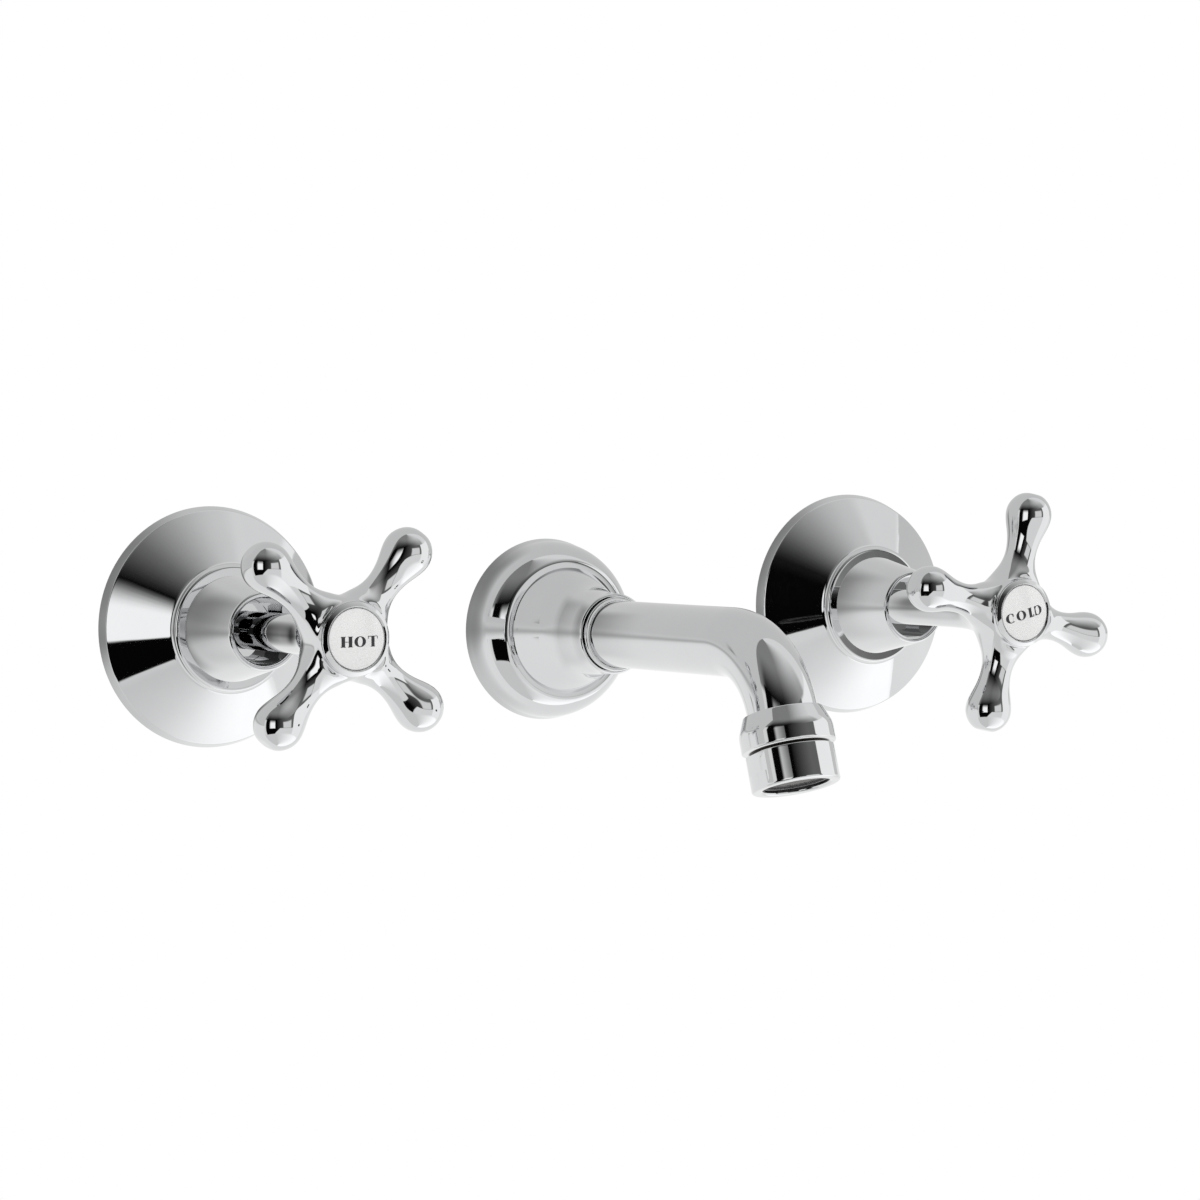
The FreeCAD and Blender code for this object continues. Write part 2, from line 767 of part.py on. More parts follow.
def aerator_insert():
    """Plastic ring that carries the mesh inside the housing."""
    outer = outlet_spigot_radius - slip_clearance
    bore = outer - insert_wall
    return at_outlet(turned([
        (outer, insert_top),
        (outer, housing_lip_top),
        (bore, housing_lip_top),
        (bore, insert_top),
    ]))


def aerator_mesh():
    """Perforated disc held in the insert, near its lower face."""
    radius = outlet_spigot_radius - slip_clearance - insert_wall - thread_clearance
    front = housing_lip_top - mesh_recess
    rings = [Part.Wire(Part.makeCircle(radius, Vector(0, -front, 0), Vector(0, 1, 0)))]
    for ring in range(mesh_ring_count + 1):
        holes = max(1, 6 * ring)
        for index in range(holes):
            turn = 2 * math.pi * index / holes
            reach = ring * mesh_hole_pitch
            centre = Vector(reach * math.cos(turn), -front, reach * math.sin(turn))
            rings.append(Part.Wire(Part.makeCircle(mesh_hole_radius, centre, Vector(0, 1, 0))))
    disc = Part.Face(rings, "Part::FaceMakerBullseye")
    return at_outlet(disc.extrude(Vector(0, mesh_thickness, 0)))


def aerator_housing():
    """Screwed cap with spanner flats on its sides and a mouth for the water."""
    thread = outlet_spigot_radius + thread_clearance
    cap = turned([
        (housing_radius, housing_top),
        (housing_radius, housing_end, flange_edge_round),
        (housing_mouth_radius, housing_end, flange_edge_round),
        (housing_mouth_radius, housing_lip_top),
        (thread, housing_lip_top),
        (thread, housing_top),
    ])
    flat_length = housing_length * flat_length_share
    for way in (-1, 1):
        near = way * (housing_radius - flat_depth)
        far = way * (housing_radius + overrun)
        corner = Vector(min(near, far), -housing_top - flat_length, -housing_radius)
        cap = cap.cut(Part.makeBox(abs(far - near), flat_length + overrun, 2 * housing_radius, corner))
    return at_outlet(cap)


def build():
    """Every piece of the tap by its name."""
    pieces = {}
    for name, side in (("hot", -1), ("cold", 1)):
        valve = {
            "wall_flange": wall_flange(),
            "sleeve": sleeve(),
            "bonnet": bonnet(),
            "body_washer": body_washer(),
            "gland_packing": gland_packing(),
            "gland_nut": gland_nut(),
            "spindle": spindle(),
            "jumper_valve": jumper_valve(),
            "jumper_washer": jumper_washer(),
            "handle": handle(handle_angles[name]),
            "handle_screw": handle_screw(),
            "button_bezel": button_bezel(),
            "index_button": index_button(),
            "valve_body": valve_body() if side > 0 else valve_body().mirror(Vector(), Vector(1, 0, 0)),
        }
        for piece, shape in valve.items():
            shape.translate(Vector(side * valve_half_spacing, 0, valve_height))
            pieces[name + "_" + piece] = shape
        pieces[name + "_cross_tube"] = cross_tube(side)
    for make in (mixing_tee, spout_nipple, spout_seal, spout_flange, spout_neck_ring, spout_tube,
                 spout_end_collar, aerator_washer, aerator_insert, aerator_mesh, aerator_housing):
        pieces[make.__name__] = make()
    return pieces


def main():
    os.makedirs("parts", exist_ok=True)
    for name, shape in build().items():
        if not shape.isValid() or len(shape.Solids) != 1:
            print(name, "needs a look: valid", shape.isValid(), "solids", len(shape.Solids))
        solid = shape.Solids[0] if len(shape.Solids) == 1 else shape
        solid.exportStep(os.path.join("parts", name + ".step"))
        print(name, round(solid.Volume, 1))


main()
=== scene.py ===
import math

import bpy
from mathutils import Matrix, Vector


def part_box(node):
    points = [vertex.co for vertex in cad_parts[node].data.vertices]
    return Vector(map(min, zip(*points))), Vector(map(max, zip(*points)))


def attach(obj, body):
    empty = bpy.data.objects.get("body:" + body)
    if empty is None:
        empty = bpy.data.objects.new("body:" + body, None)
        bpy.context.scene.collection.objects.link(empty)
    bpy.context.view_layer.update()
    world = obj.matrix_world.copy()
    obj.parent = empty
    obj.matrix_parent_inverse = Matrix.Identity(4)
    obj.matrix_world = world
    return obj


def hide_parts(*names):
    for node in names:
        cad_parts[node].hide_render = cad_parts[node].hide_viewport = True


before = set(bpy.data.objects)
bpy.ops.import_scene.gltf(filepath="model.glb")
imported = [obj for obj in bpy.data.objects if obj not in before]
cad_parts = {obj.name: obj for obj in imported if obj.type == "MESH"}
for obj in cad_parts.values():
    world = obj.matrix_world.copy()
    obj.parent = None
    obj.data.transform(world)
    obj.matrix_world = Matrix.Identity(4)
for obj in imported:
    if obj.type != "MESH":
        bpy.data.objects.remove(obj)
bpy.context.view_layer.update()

mm = 0.001
hairline = 0.01 * mm  # points closer than this count as level
mergeReach = 0.002 * mm
scene = bpy.context.scene
scene.view_settings.view_transform = "Standard"


# modelling helpers
def setMode(mode):
    bpy.ops.object.mode_set(mode=mode)


def startFresh():
    if bpy.context.mode != "OBJECT":
        setMode("OBJECT")
    bpy.ops.object.select_all(action="DESELECT")


def makeActive(piece):
    startFresh()
    piece.select_set(True)
    bpy.context.view_layer.objects.active = piece


def freeze():
    # puts the active object's placing into its mesh
    bpy.ops.object.transform_apply(location=True, rotation=True, scale=True)
    return bpy.context.active_object


def block(middle, size):
    startFresh()
    bpy.ops.mesh.primitive_cube_add(size=1, location=middle)
    bpy.context.active_object.scale = size
    return freeze()


def selectInEdit(piece, kind, wanted):
    # selects the vertices or faces of the piece that the test wants, and leaves edit mode on
    makeActive(piece)
    setMode("EDIT")
    bpy.ops.mesh.select_all(action="DESELECT")
    bpy.ops.mesh.select_mode(type="VERT" if kind == "vertices" else "FACE")
    setMode("OBJECT")
    for item in getattr(piece.data, kind):
        item.select = wanted(item.co if kind == "vertices" else item.center)
    setMode("EDIT")


def closeMesh(piece, angle=32):
    # merges doubles, turns the faces outwards and shades by angle
    makeActive(piece)
    setMode("EDIT")
    bpy.ops.mesh.select_all(action="SELECT")
    bpy.ops.mesh.remove_doubles(threshold=mergeReach)
    bpy.ops.mesh.normals_make_consistent(inside=False)
    setMode("OBJECT")
    bpy.ops.object.shade_smooth_by_angle(angle=math.radians(angle))


def applyModifier(piece, kind, **settings):
    makeActive(piece)
    modifier = piece.modifiers.new(kind.title(), kind)
    for key, value in settings.items():
        setattr(modifier, key, value)
    bpy.ops.object.modifier_apply(modifier=modifier.name)


def settle(piece, place):
    # puts a transform into the mesh, so the object itself stays at the origin
    piece.data.transform(place)
    piece.data.update()


def roundCorners(corners, stepAngle=8, holdInset=0.25):
    # corners are (radius, depth) or (radius, depth, rounding), all in millimetres
    points = [Vector(corner[:2]) for corner in corners]
    arcs = []
    for here, point in enumerate(points):
        rounding = corners[here][2] if len(corners[here]) > 2 else 0
        if rounding == 0:
            arcs.append([point])
            continue
        before = points[here - 1] - point
        after = points[(here + 1) % len(points)] - point
        half = before.angle(after) / 2
        roundings = [corners[(here + step) % len(corners)][2:] for step in (-1, 1)]
        rooms = [way.length / (2 if shared else 1) for way, shared in zip((before, after), roundings)]
        setback = min(rounding / math.tan(half), *rooms)
        radius = setback * math.tan(half)
        centre = point + (before.normalized() + after.normalized()).normalized() * (radius / math.sin(half))
        start = point + before.normalized() * setback - centre
        end = point + after.normalized() * setback - centre
        sweep = math.pi - 2 * half
        way = 1 if start.cross(end) > 0 else -1
        steps = max(2, round(math.degrees(sweep) / stepAngle))
        arcs.append([])
        for step in range(steps + 1):
            turn = way * sweep * step / steps
            spun = Vector((start.x * math.cos(turn) - start.y * math.sin(turn),
                           start.x * math.sin(turn) + start.y * math.cos(turn)))
            arcs[-1].append(centre + spun)
    rings = []
    for arc, nextArc in zip(arcs, arcs[1:] + arcs[:1]):
        run = nextArc[0] - arc[-1]
        rings += arc
        if run.length > 6 * holdInset:  # a ring close to each end keeps a straight face's shading flat
            rings += [arc[-1] + run.normalized() * holdInset, nextArc[0] - run.normalized() * holdInset]
    return [tuple(ring) for ring in rings]


def extrudeRings(name, rings, segments, closed=True, capFirst=False):
    # a circle on the depth axis, extruded ring by ring; depth runs towards -Y
    startFresh()
    radius, depth = rings[0]
    fill = "NGON" if capFirst else "NOTHING"
    bpy.ops.mesh.primitive_circle_add(vertices=segments, radius=radius * mm, fill_type=fill,
                                      location=(0, -depth * mm, 0), rotation=(math.pi / 2, 0, 0))
    piece = freeze()
    piece.name = piece.data.name = name
    setMode("EDIT")
    bpy.ops.mesh.select_mode(type="EDGE")
    bpy.ops.mesh.select_all(action="SELECT")
    for nextRadius, nextDepth in rings[1:] + (rings[:1] if closed else []):
        bpy.ops.mesh.extrude_edges_move(TRANSFORM_OT_translate={"value": (0, (depth - nextDepth) * mm, 0)})
        share = nextRadius / radius
        bpy.ops.transform.resize(value=(share, 1, share), center_override=(0, -nextDepth * mm, 0))
        radius, depth = nextRadius, nextDepth
    setMode("OBJECT")
    return piece


def turnPiece(name, corners, segments=144, stepAngle=8):
    piece = extrudeRings(name, roundCorners(corners, stepAngle), segments)
    closeMesh(piece)
    return piece


def copyOf(piece, name):
    twin = piece.copy()
    twin.data = piece.data.copy()
    twin.name = twin.data.name = name
    bpy.context.collection.objects.link(twin)
    return twin


def joinAll(pieces, name):
    makeActive(pieces[0])
    for piece in pieces:
        piece.select_set(True)
    bpy.ops.object.join()
    pieces[0].name = pieces[0].data.name = name
    return pieces[0]


# where the pieces sit
valvePlace = {}
for side in ("hot", "cold"):
    low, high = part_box(side + "_wall_flange")
    valvePlace[side] = Matrix.Translation(((low.x + high.x) / 2, 0, (low.z + high.z) / 2))
spout = {"bendStart": 102.0, "bendRadius": 26.0, "bendAngle": 72.0, "bendSteps": 36, "radius": 9.55,
         "wall": 1.6, "back": 0.5, "midRing": 60.0, "seat": 4.6, "sides": 128}
bendCentre = Vector((0, -spout["bendStart"] * mm, -spout["bendRadius"] * mm))
outletPlace = (Matrix.Translation(bendCentre) @ Matrix.Rotation(math.radians(spout["bendAngle"]), 4, "X")
               @ Matrix.Translation(-bendCentre) @ Matrix.Translation((0, -spout["bendStart"] * mm, 0)))


# materials
class Wire:
    # a shader socket that takes part in sums
    def __init__(self, tree, socket):
        self.tree = tree
        self.socket = socket

    def maths(self, operation, first, second):
        return node(self.tree, "ShaderNodeMath", {"operation": operation}, {0: first, 1: second})

    def __add__(self, other):
        return self.maths("ADD", self, other)

    def __sub__(self, other):
        return self.maths("SUBTRACT", self, other)

    def __mul__(self, other):
        return self.maths("MULTIPLY", self, other)

    def __rsub__(self, other):
        return self.maths("SUBTRACT", other, self)

    __radd__ = __add__
    __rmul__ = __mul__


def plug(tree, made, inputs):
    for key, value in inputs.items():
        if isinstance(value, Wire):
            tree.links.new(value.socket, made.inputs[key])
        else:
            made.inputs[key].default_value = value


def node(tree, kind, settings=None, inputs=None, output=0):
    made = tree.nodes.new(kind)
    for key, value in (settings or {}).items():
        setattr(made, key, value)
    plug(tree, made, inputs or {})
    return Wire(tree, made.outputs[output]) if made.outputs else None


def noise(tree, scale, detail=3.0, roughness=0.5, stretch=(1, 1, 1)):
    place = node(tree, "ShaderNodeTexCoord", output="Object")
    place = node(tree, "ShaderNodeMapping", inputs={"Vector": place, "Scale": stretch})
    return node(tree, "ShaderNodeTexNoise", {"noise_dimensions": "3D"},
                {"Vector": place, "Scale": scale, "Detail": detail, "Roughness": roughness}, "Fac")


def blendColours(tree, share, dark, light):
    return node(tree, "ShaderNodeMix", {"data_type": "RGBA"}, {0: share, 6: (*dark, 1), 7: (*light, 1)}, 2)


def bump(tree, height, strength, distance):
    inputs = {"Height": height, "Strength": strength, "Distance": distance}
    return node(tree, "ShaderNodeBump", None, inputs, "Normal")


def smoothStep(tree, value, low, high):
    return node(tree, "ShaderNodeMapRange", {"interpolation_type": "SMOOTHSTEP"},
                {"Value": value, "From Min": low, "From Max": high, "To Min": 0.0, "To Max": 1.0}, "Result")


def between(tree, value, low, high, soft):
    above = smoothStep(tree, value, low - soft, low + soft)
    return above * (1 - smoothStep(tree, value, high - soft, high + soft))


def finish(name, build):
    material = bpy.data.materials.new(name)
    material.use_nodes = True
    tree = material.node_tree
    plug(tree, tree.nodes["Principled BSDF"], build(tree))
    return material


def chromeLook(tree):
    haze = noise(tree, 42, 4, 0.6)
    wobble = noise(tree, 65, 2, 0.5)
    return {
        "Base Color": blendColours(tree, haze, (0.64, 0.645, 0.652), (0.70, 0.704, 0.71)),
        "Metallic": 1.0,
        "Roughness": 0.02 + haze * 0.035,
        "Normal": bump(tree, wobble, 0.05, 0.0006),
    }


def brassLook(tree):
    tarnish = noise(tree, 55, 5, 0.62)
    grain = noise(tree, 1500, 3, 0.6)
    return {
        "Base Color": blendColours(tree, tarnish, (0.50, 0.33, 0.115), (0.78, 0.57, 0.25)),
        "Metallic": 1.0,
        "Roughness": 0.26 + tarnish * 0.16 + grain * 0.06,
        "Normal": bump(tree, grain, 0.10, 0.0003),
    }


def copperLook(tree):
    bloom = noise(tree, 70, 5, 0.65)
    drawLines = noise(tree, 800, 2, 0.5, (0.02, 1, 1))
    return {
        "Base Color": blendColours(tree, bloom, (0.48, 0.19, 0.105), (0.80, 0.42, 0.28)),
        "Metallic": 1.0,
        "Roughness": 0.22 + bloom * 0.18 + drawLines * 0.08,
        "Normal": bump(tree, drawLines, 0.06, 0.0003),
    }


def ceramicLook(tree):
    glaze = noise(tree, 160, 3, 0.5)
    return {
        "Base Color": blendColours(tree, glaze, (0.80, 0.80, 0.795), (0.845, 0.845, 0.84)),
        "Roughness": 0.12 + glaze * 0.07,
        "Coat Weight": 0.35 + glaze * 0.15,
    }


def grainLook(scale, detail, rough, colours, gloss, relief=None, metallic=0.0):
    # one grain that varies the colour, the roughness and the relief
    def build(tree):
        grain = noise(tree, scale, detail, rough)
        look = {
            "Base Color": blendColours(tree, grain, *colours),
            "Metallic": metallic,
            "Roughness": gloss[0] + grain * gloss[1],
        }
        if relief:
            look["Normal"] = bump(tree, grain, *relief)
        return look

    return build


rubberLook = grainLook(300, 4, 0.6, ((0.018, 0.018, 0.019), (0.05, 0.05, 0.052)), (0.66, 0.2),
                       (0.12, 0.0004))
fibreLook = grainLook(1300, 5, 0.7, ((0.30, 0.075, 0.045), (0.46, 0.14, 0.085)), (0.7, 0.2),
                      (0.25, 0.0004))
steelLook = grainLook(1100, 3, 0.6, ((0.13, 0.128, 0.126), (0.21, 0.207, 0.204)), (0.24, 0.16),
                      (0.08, 0.0003), 1.0)
plasticLook = grainLook(900, 3, 0.55, ((0.10, 0.10, 0.102), (0.15, 0.15, 0.152)), (0.42, 0.15),
                        (0.06, 0.0003))
enamelLook = grainLook(1800, 3, 0.6, ((0.010, 0.010, 0.012), (0.030, 0.030, 0.034)), (0.24, 0.18))
looks = {
    "chrome": finish("polishedChrome", chromeLook),
    "brass": finish("castBrass", brassLook),
    "copper": finish("drawnCopper", copperLook),
    "white_ceramic": finish("whiteGlaze", ceramicLook),
    "rubber": finish("blackRubber", rubberLook),
    "fibre": finish("redFibre", fibreLook),
    "steel": finish("screenSteel", steelLook),
    "grey_plastic": finish("greyPlastic", plasticLook),
}
letterEnamel = finish("letterEnamel", enamelLook)


def dress(piece, body, slot, *nodes, look=None):
    piece.data.materials.clear()
    piece.data.materials.append(look or looks[slot])
    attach(piece, body)
    if nodes:
        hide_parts(*nodes)


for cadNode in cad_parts.values():
    for holder in cadNode.material_slots:
        slotName = holder.material.name.split(".")[0]
        if slotName in looks:
            holder.material = looks[slotName]
        else:
            print("no look for", cadNode.name, holder.material.name)
print("materials made")


# wall flanges and sleeves
flange = {"radius": 34.0, "band": 3.2, "draw": 1.1, "depth": 15.8, "wall": 1.8, "collar": 17.7,
          "collarHeight": 1.9, "bore": 13.45, "land": 3.0, "edgeRound": 0.7, "rootRound": 2.4,
          "lipRound": 1.1, "burr": 0.25}


def flangeCorners(f):
    rim = f["radius"] - f["draw"]
    coneFront = f["depth"] - f["collarHeight"]
    slope = math.atan2(coneFront - f["band"], rim - f["collar"])
    inside = f["wall"] / math.cos(slope)
    innerRim, innerCollar = f["radius"] - f["wall"], f["collar"] - f["wall"]

    def innerDepth(radius):
        return f["band"] + (rim - radius) * math.tan(slope) - inside

    landBack = f["depth"] - f["land"]
    return [
        (f["radius"], 0, f["burr"]), (rim, f["band"], f["edgeRound"]),
        (f["collar"], coneFront, f["rootRound"]), (f["collar"], f["depth"], f["lipRound"]),
        (f["bore"], f["depth"], f["burr"]), (f["bore"], landBack), (innerCollar, landBack),
        (innerCollar, min(innerDepth(innerCollar), landBack - f["wall"])),
        (innerRim, innerDepth(innerRim)), (innerRim, 0, f["burr"]),
    ]


sleeve = {"base": 14.75, "front": 10.85, "frontDepth": 36.0, "lip": 1.6, "lipRound": 0.75, "spigot": 13.2,
          "spigotBack": 7.8, "seat": 15.8, "thread": 11.25, "threadFront": 20.75, "burr": 0.25}


def sleeveCorners(s):
    mouth = s["front"] - s["lip"]
    return [
        (s["spigot"], s["spigotBack"], s["burr"]), (s["spigot"], s["seat"]),
        (s["base"], s["seat"], s["burr"]),
        (s["front"], s["frontDepth"], s["lipRound"]), (mouth, s["frontDepth"], s["lipRound"]),
        (mouth, s["threadFront"]), (s["thread"], s["threadFront"]), (s["thread"], s["spigotBack"]),
    ]


flangeModel = turnPiece("flangeModel", flangeCorners(flange))
sleeveModel = turnPiece("sleeveModel", sleeveCorners(sleeve))
for side in ("hot", "cold"):
    for model, part in ((flangeModel, "wall_flange"), (sleeveModel, "sleeve")):
        twin = copyOf(model, side + "Cover_" + part)
        settle(twin, valvePlace[side])
        dress(twin, "wall_fittings", "chrome", side + "_" + part)
        # only the hot sleeve's mirror image shows in the photo
        twin.visible_glossy = (side, part) == ("hot", "sleeve")
for model in (flangeModel, sleeveModel):
    bpy.data.objects.remove(model)
print("flanges and sleeves turned")


# cross handles
cross = {
    "hubSides": 16, "hubGrow": 1.026, "armSides": 12, "armGrow": 1.047, "armDepth": 82.8,
    "hub": 9.9, "valley": 11.2, "patch": (9.0, 11.2), "rowBack": -6.6, "rowFront": 5.7, "front": 6.8,
    "angle": {"hot": 49.0, "cold": 75.0}, "levels": 3,
    "neck": [(5.3, 26.5), (5.3, 27.0), (5.3, 42.0), (5.3, 57.0)],
    # radius, and depth from the arms' axis
    "boss": [(5.65, -16.3), (7.3, -10.6), (9.3, -6.6), (9.9, 0), (9.95, 5.7), (9.9, 6.5), (9.86, 6.8),
             (9.5, 6.8), (8.9, 6.8), (8.86, 6.5), (8.86, 0.5), (8.86, 0.2), (8.5, 0.2), (2.4, 0.2),
             (2.05, 0.2), (2.05, -0.2), (2.05, -3.4), (2.05, -3.8), (2.4, -3.8), (3.5, -3.8),
             (3.75, -3.8), (3.75, -4.3)],
    "bore": [(3.75, 27.1), (3.75, 26.5), (4.1, 26.5), (5.0, 26.5)],
    # radius, and reach from the spindle
    "arm": [(6.35, 11.2), (5.25, 13.2), (4.45, 16.0), (4.35, 19.0), (4.95, 22.6), (6.1, 25.8), (6.85, 29.0),
            (6.3, 31.9), (4.5, 34.35), (2.6, 35.35)],
}
hubFront = cross["armDepth"] + cross["front"]


def armRings(name):
    rings = [(radius * cross["armGrow"], reach) for radius, reach in cross["arm"]]
    arm = extrudeRings(name, rings, cross["armSides"], closed=False)
    tip = -cross["arm"][-1][1] * mm
    selectInEdit(arm, "vertices", lambda co: abs(co.y - tip) < hairline)
    bpy.ops.mesh.select_mode(type="EDGE")
    bpy.ops.mesh.fill_grid(span=3)
    setMode("OBJECT")
    return arm


def handleCage():
    boss = [(radius, cross["armDepth"] + depth) for radius, depth in cross["boss"]]
    rings = [(radius * cross["hubGrow"], depth) for radius, depth in cross["neck"] + boss + cross["bore"]]
    cage = extrudeRings("handleCage", rings, cross["hubSides"])
    closeMesh(cage)
    midRow = -cross["armDepth"] * mm
    armBack, armFront = midRow - cross["rowBack"] * mm, midRow - cross["rowFront"] * mm
    patchIn, patchOut = (reach * mm for reach in cross["patch"])

    def inValley(co):
        # the outer points halfway between two arms
        turn = math.degrees(math.atan2(co.z, co.x)) % 90
        return abs(co.y - midRow) < hairline and abs(turn - 45) < 1 and math.hypot(co.x, co.z) > patchIn

    selectInEdit(cage, "vertices", inValley)
    share = cross["valley"] / cross["hub"]
    bpy.ops.transform.resize(value=(share, 1, share), center_override=(0, midRow, 0))
    setMode("OBJECT")
    for quarter in range(4):
        way = math.radians(90 * quarter)
        facing = Vector((math.cos(way), 0, math.sin(way)))

        def inPatch(centre):
            flat = Vector((centre.x, 0, centre.z))
            return (armFront < centre.y < armBack and patchIn < flat.length < patchOut
                    and flat.angle(facing) < math.radians(45))

        selectInEdit(cage, "polygons", inPatch)
        bpy.ops.mesh.delete(type="FACE")
        setMode("OBJECT")
        arm = armRings("arm" + str(quarter))
        turn = Matrix.Rotation(-way, 4, "Y") @ Matrix.Rotation(math.pi / 2, 4, "Z")
        settle(arm, Matrix.Translation((0, midRow, 0)) @ turn)
        joinAll([cage, arm], "handleCage")
        setMode("EDIT")
        bpy.ops.mesh.select_mode(type="EDGE")
        bpy.ops.mesh.select_all(action="DESELECT")
        bpy.ops.mesh.select_non_manifold(extend=False, use_wire=False, use_boundary=True,
                                         use_multi_face=False, use_non_contiguous=False, use_verts=False)
        bpy.ops.mesh.bridge_edge_loops()
        setMode("OBJECT")
    closeMesh(cage, 180)
    return cage


cage = handleCage()
applyModifier(cage, "SUBSURF", levels=cross["levels"], render_levels=cross["levels"])
closeMesh(cage, 50)
for side in ("hot", "cold"):
    handle = copyOf(cage, side + "CrossHandle")
    spin = Matrix.Rotation(math.radians(-cross["angle"][side]), 4, "Y")
    settle(handle, valvePlace[side] @ spin)
    dress(handle, side + "_cross_handle", "chrome", side + "_handle")
bpy.data.objects.remove(cage)
print("cross handles modelled")


# index buttons and their bezels
bezel = {"lip": 9.75, "side": 0.58, "lipHeight": 1.3, "crest": 8.58, "hollow": 0.64, "cup": 8.8,
         "pocket": 8.11, "cupBack": 4.54, "floor": 3.34, "bore": 1.0, "cupRound": 0.2, "burr": 0.12}
button = {"radius": 8.05, "back": 3.34, "edge": 0.9, "edgeBreak": 0.12, "crown": 0.9, "rings": 9}
buttonSides = 96


def bezelCorners(b):
    lipFront = hubFront + b["lipHeight"]
    cupBack, floor = hubFront - b["cupBack"], hubFront - b["floor"]
    return [
        (b["bore"], cupBack), (b["cup"], cupBack, b["cupRound"]), (b["cup"], hubFront),
        (b["lip"], hubFront, b["burr"]), (b["lip"], hubFront + b["side"], b["burr"]),
        (b["crest"], lipFront, b["burr"]),
        (b["pocket"], lipFront - b["hollow"]), (b["pocket"], floor), (b["bore"], floor),
    ]


def domeDepth(b, reach):
    dome = (b["radius"] ** 2 + b["crown"] ** 2) / (2 * b["crown"])
    return hubFront + b["edge"] + b["crown"] - dome + math.sqrt(dome ** 2 - reach ** 2)


def buttonRings(b):
    rings = [(b["radius"], hubFront - b["back"]), (b["radius"], hubFront + b["edge"] - b["edgeBreak"])]
    for step in range(b["rings"] + 1):
        reach = (b["radius"] - b["edgeBreak"]) * (1 - step / b["rings"])
        rings.append((reach, domeDepth(b, reach)))
    return rings


for side in ("hot", "cold"):
    ring = turnPiece(side + "ButtonBezel", bezelCorners(bezel), buttonSides)
    settle(ring, valvePlace[side])
    dress(ring, side + "_cross_handle", "chrome", side + "_button_bezel")
    disc = extrudeRings(side + "IndexButton", buttonRings(button), buttonSides, closed=False, capFirst=True)
    closeMesh(disc)
    settle(disc, valvePlace[side])
    dress(disc, side + "_cross_handle", "white_ceramic", side + "_index_button")
print("buttons set")


# plain serif words on the buttons; u runs to the right and v up, from the middle of a letter
lettering = {
    "height": 2.8, "stem": 0.98, "thin": 0.4, "hair": 0.16, "serif": 1.4, "tick": 0.7, "bowl": 1.7,
    "opening": 0.45, "proud": 0.03, "sunk": 0.12, "segments": 56,
    # half the space between the posts of an H, and half the arm of a T
    "posts": 1.0, "arm": 1.4,
    # the post, foot and foot's tick of an L, and how far the beak of a C stands below its top
    "footPost": -0.5, "footMiddle": -0.1, "footLength": 1.6, "footHeight": 0.288, "footTick": 0.6,
    "beakWidth": 0.32, "beakDrop": 0.63,
    "drop": {"hot": 0.65, "cold": 0.25}, "lean": {"hot": 0.0, "cold": 13.0},
    "words": {"hot": (("H", -3.25), ("O", 0.55), ("T", 4.4)),
              "cold": (("C", -5.4), ("O", -1.9), ("L", 1.95), ("D", 4.2))},
}


def letterBars(letter):
    t = lettering
    tall, hair, serif, tick, bowl = t["height"], t["hair"], t["serif"], t["tick"], t["bowl"]
    top = (tall - hair) / 2

    def post(u, ends):
        return [(u, 0, t["stem"], tall)] + [(u, end * top, serif, hair) for end in ends]

    if letter == "H":
        bars = post(-t["posts"], (-1, 1)) + post(t["posts"], (-1, 1))
        return bars + [(0, 0, 2 * t["posts"], hair)]
    if letter == "T":
        ticks = [(u, top - tick / 2, hair, tick) for u in (-t["arm"], t["arm"])]
        return post(0, (-1,)) + [(0, top, 2 * t["arm"] + hair, hair)] + ticks
    if letter == "L":
        foot = t["footHeight"]
        return post(t["footPost"], (1,)) + [
            (t["footMiddle"], (foot - tall) / 2, t["footLength"], foot),
            (t["footTick"], (tick - tall) / 2, foot, tick),
        ]
    if letter == "D":
        return [(-bowl / 2, 0, t["thin"], tall)]
    if letter == "C":
        return [(bowl * t["opening"], top - t["beakDrop"], t["beakWidth"], tick)]
    return []


def letterBowl(name, cut):
    # a round letter, stretched from a plain ring: hair thin at the top and foot, thick at the sides
    t = lettering
    tall = t["height"] / 2
    inner, outer, half = 0.5, 1.0, 0.5
    ring = extrudeRings(name, [(outer, half), (outer, -half), (inner, -half), (inner, half)], t["segments"])
    selectInEdit(ring, "vertices", lambda co: math.hypot(co.x, co.z) < (inner + outer) / 2 * mm)
    inside = ((t["bowl"] - t["stem"]) / inner, 1, (tall - t["hair"]) / inner)
    bpy.ops.transform.resize(value=inside, center_override=(0, 0, 0))
    bpy.ops.mesh.select_all(action="INVERT")
    bpy.ops.transform.resize(value=(t["bowl"], 1, tall), center_override=(0, 0, 0))
    setMode("OBJECT")
    if cut:
        selectInEdit(ring, "polygons", cut)
        bpy.ops.mesh.delete(type="FACE")
        bpy.ops.mesh.select_all(action="SELECT")
        bpy.ops.mesh.fill_holes(sides=4)
        setMode("OBJECT")
    return ring


def letterPieces(letter, along):
    pieces = []
    for u, v, width, tall in letterBars(letter):
        pieces.append(block(((along + u) * mm, 0, v * mm), (width * mm, mm, tall * mm)))
        setMode("EDIT")
        bpy.ops.mesh.subdivide(number_cuts=3)
        setMode("OBJECT")
    bowl = lettering["bowl"] * mm
    mouth = bowl * lettering["opening"]
    cuts = {"O": None, "C": lambda centre: centre.x > mouth, "D": lambda centre: centre.x < -bowl / 2}
    if letter in cuts:
        pieces.append(letterBowl("bowl" + letter, cuts[letter]))
        settle(pieces[-1], Matrix.Translation((along * mm, 0, 0)))
    return pieces


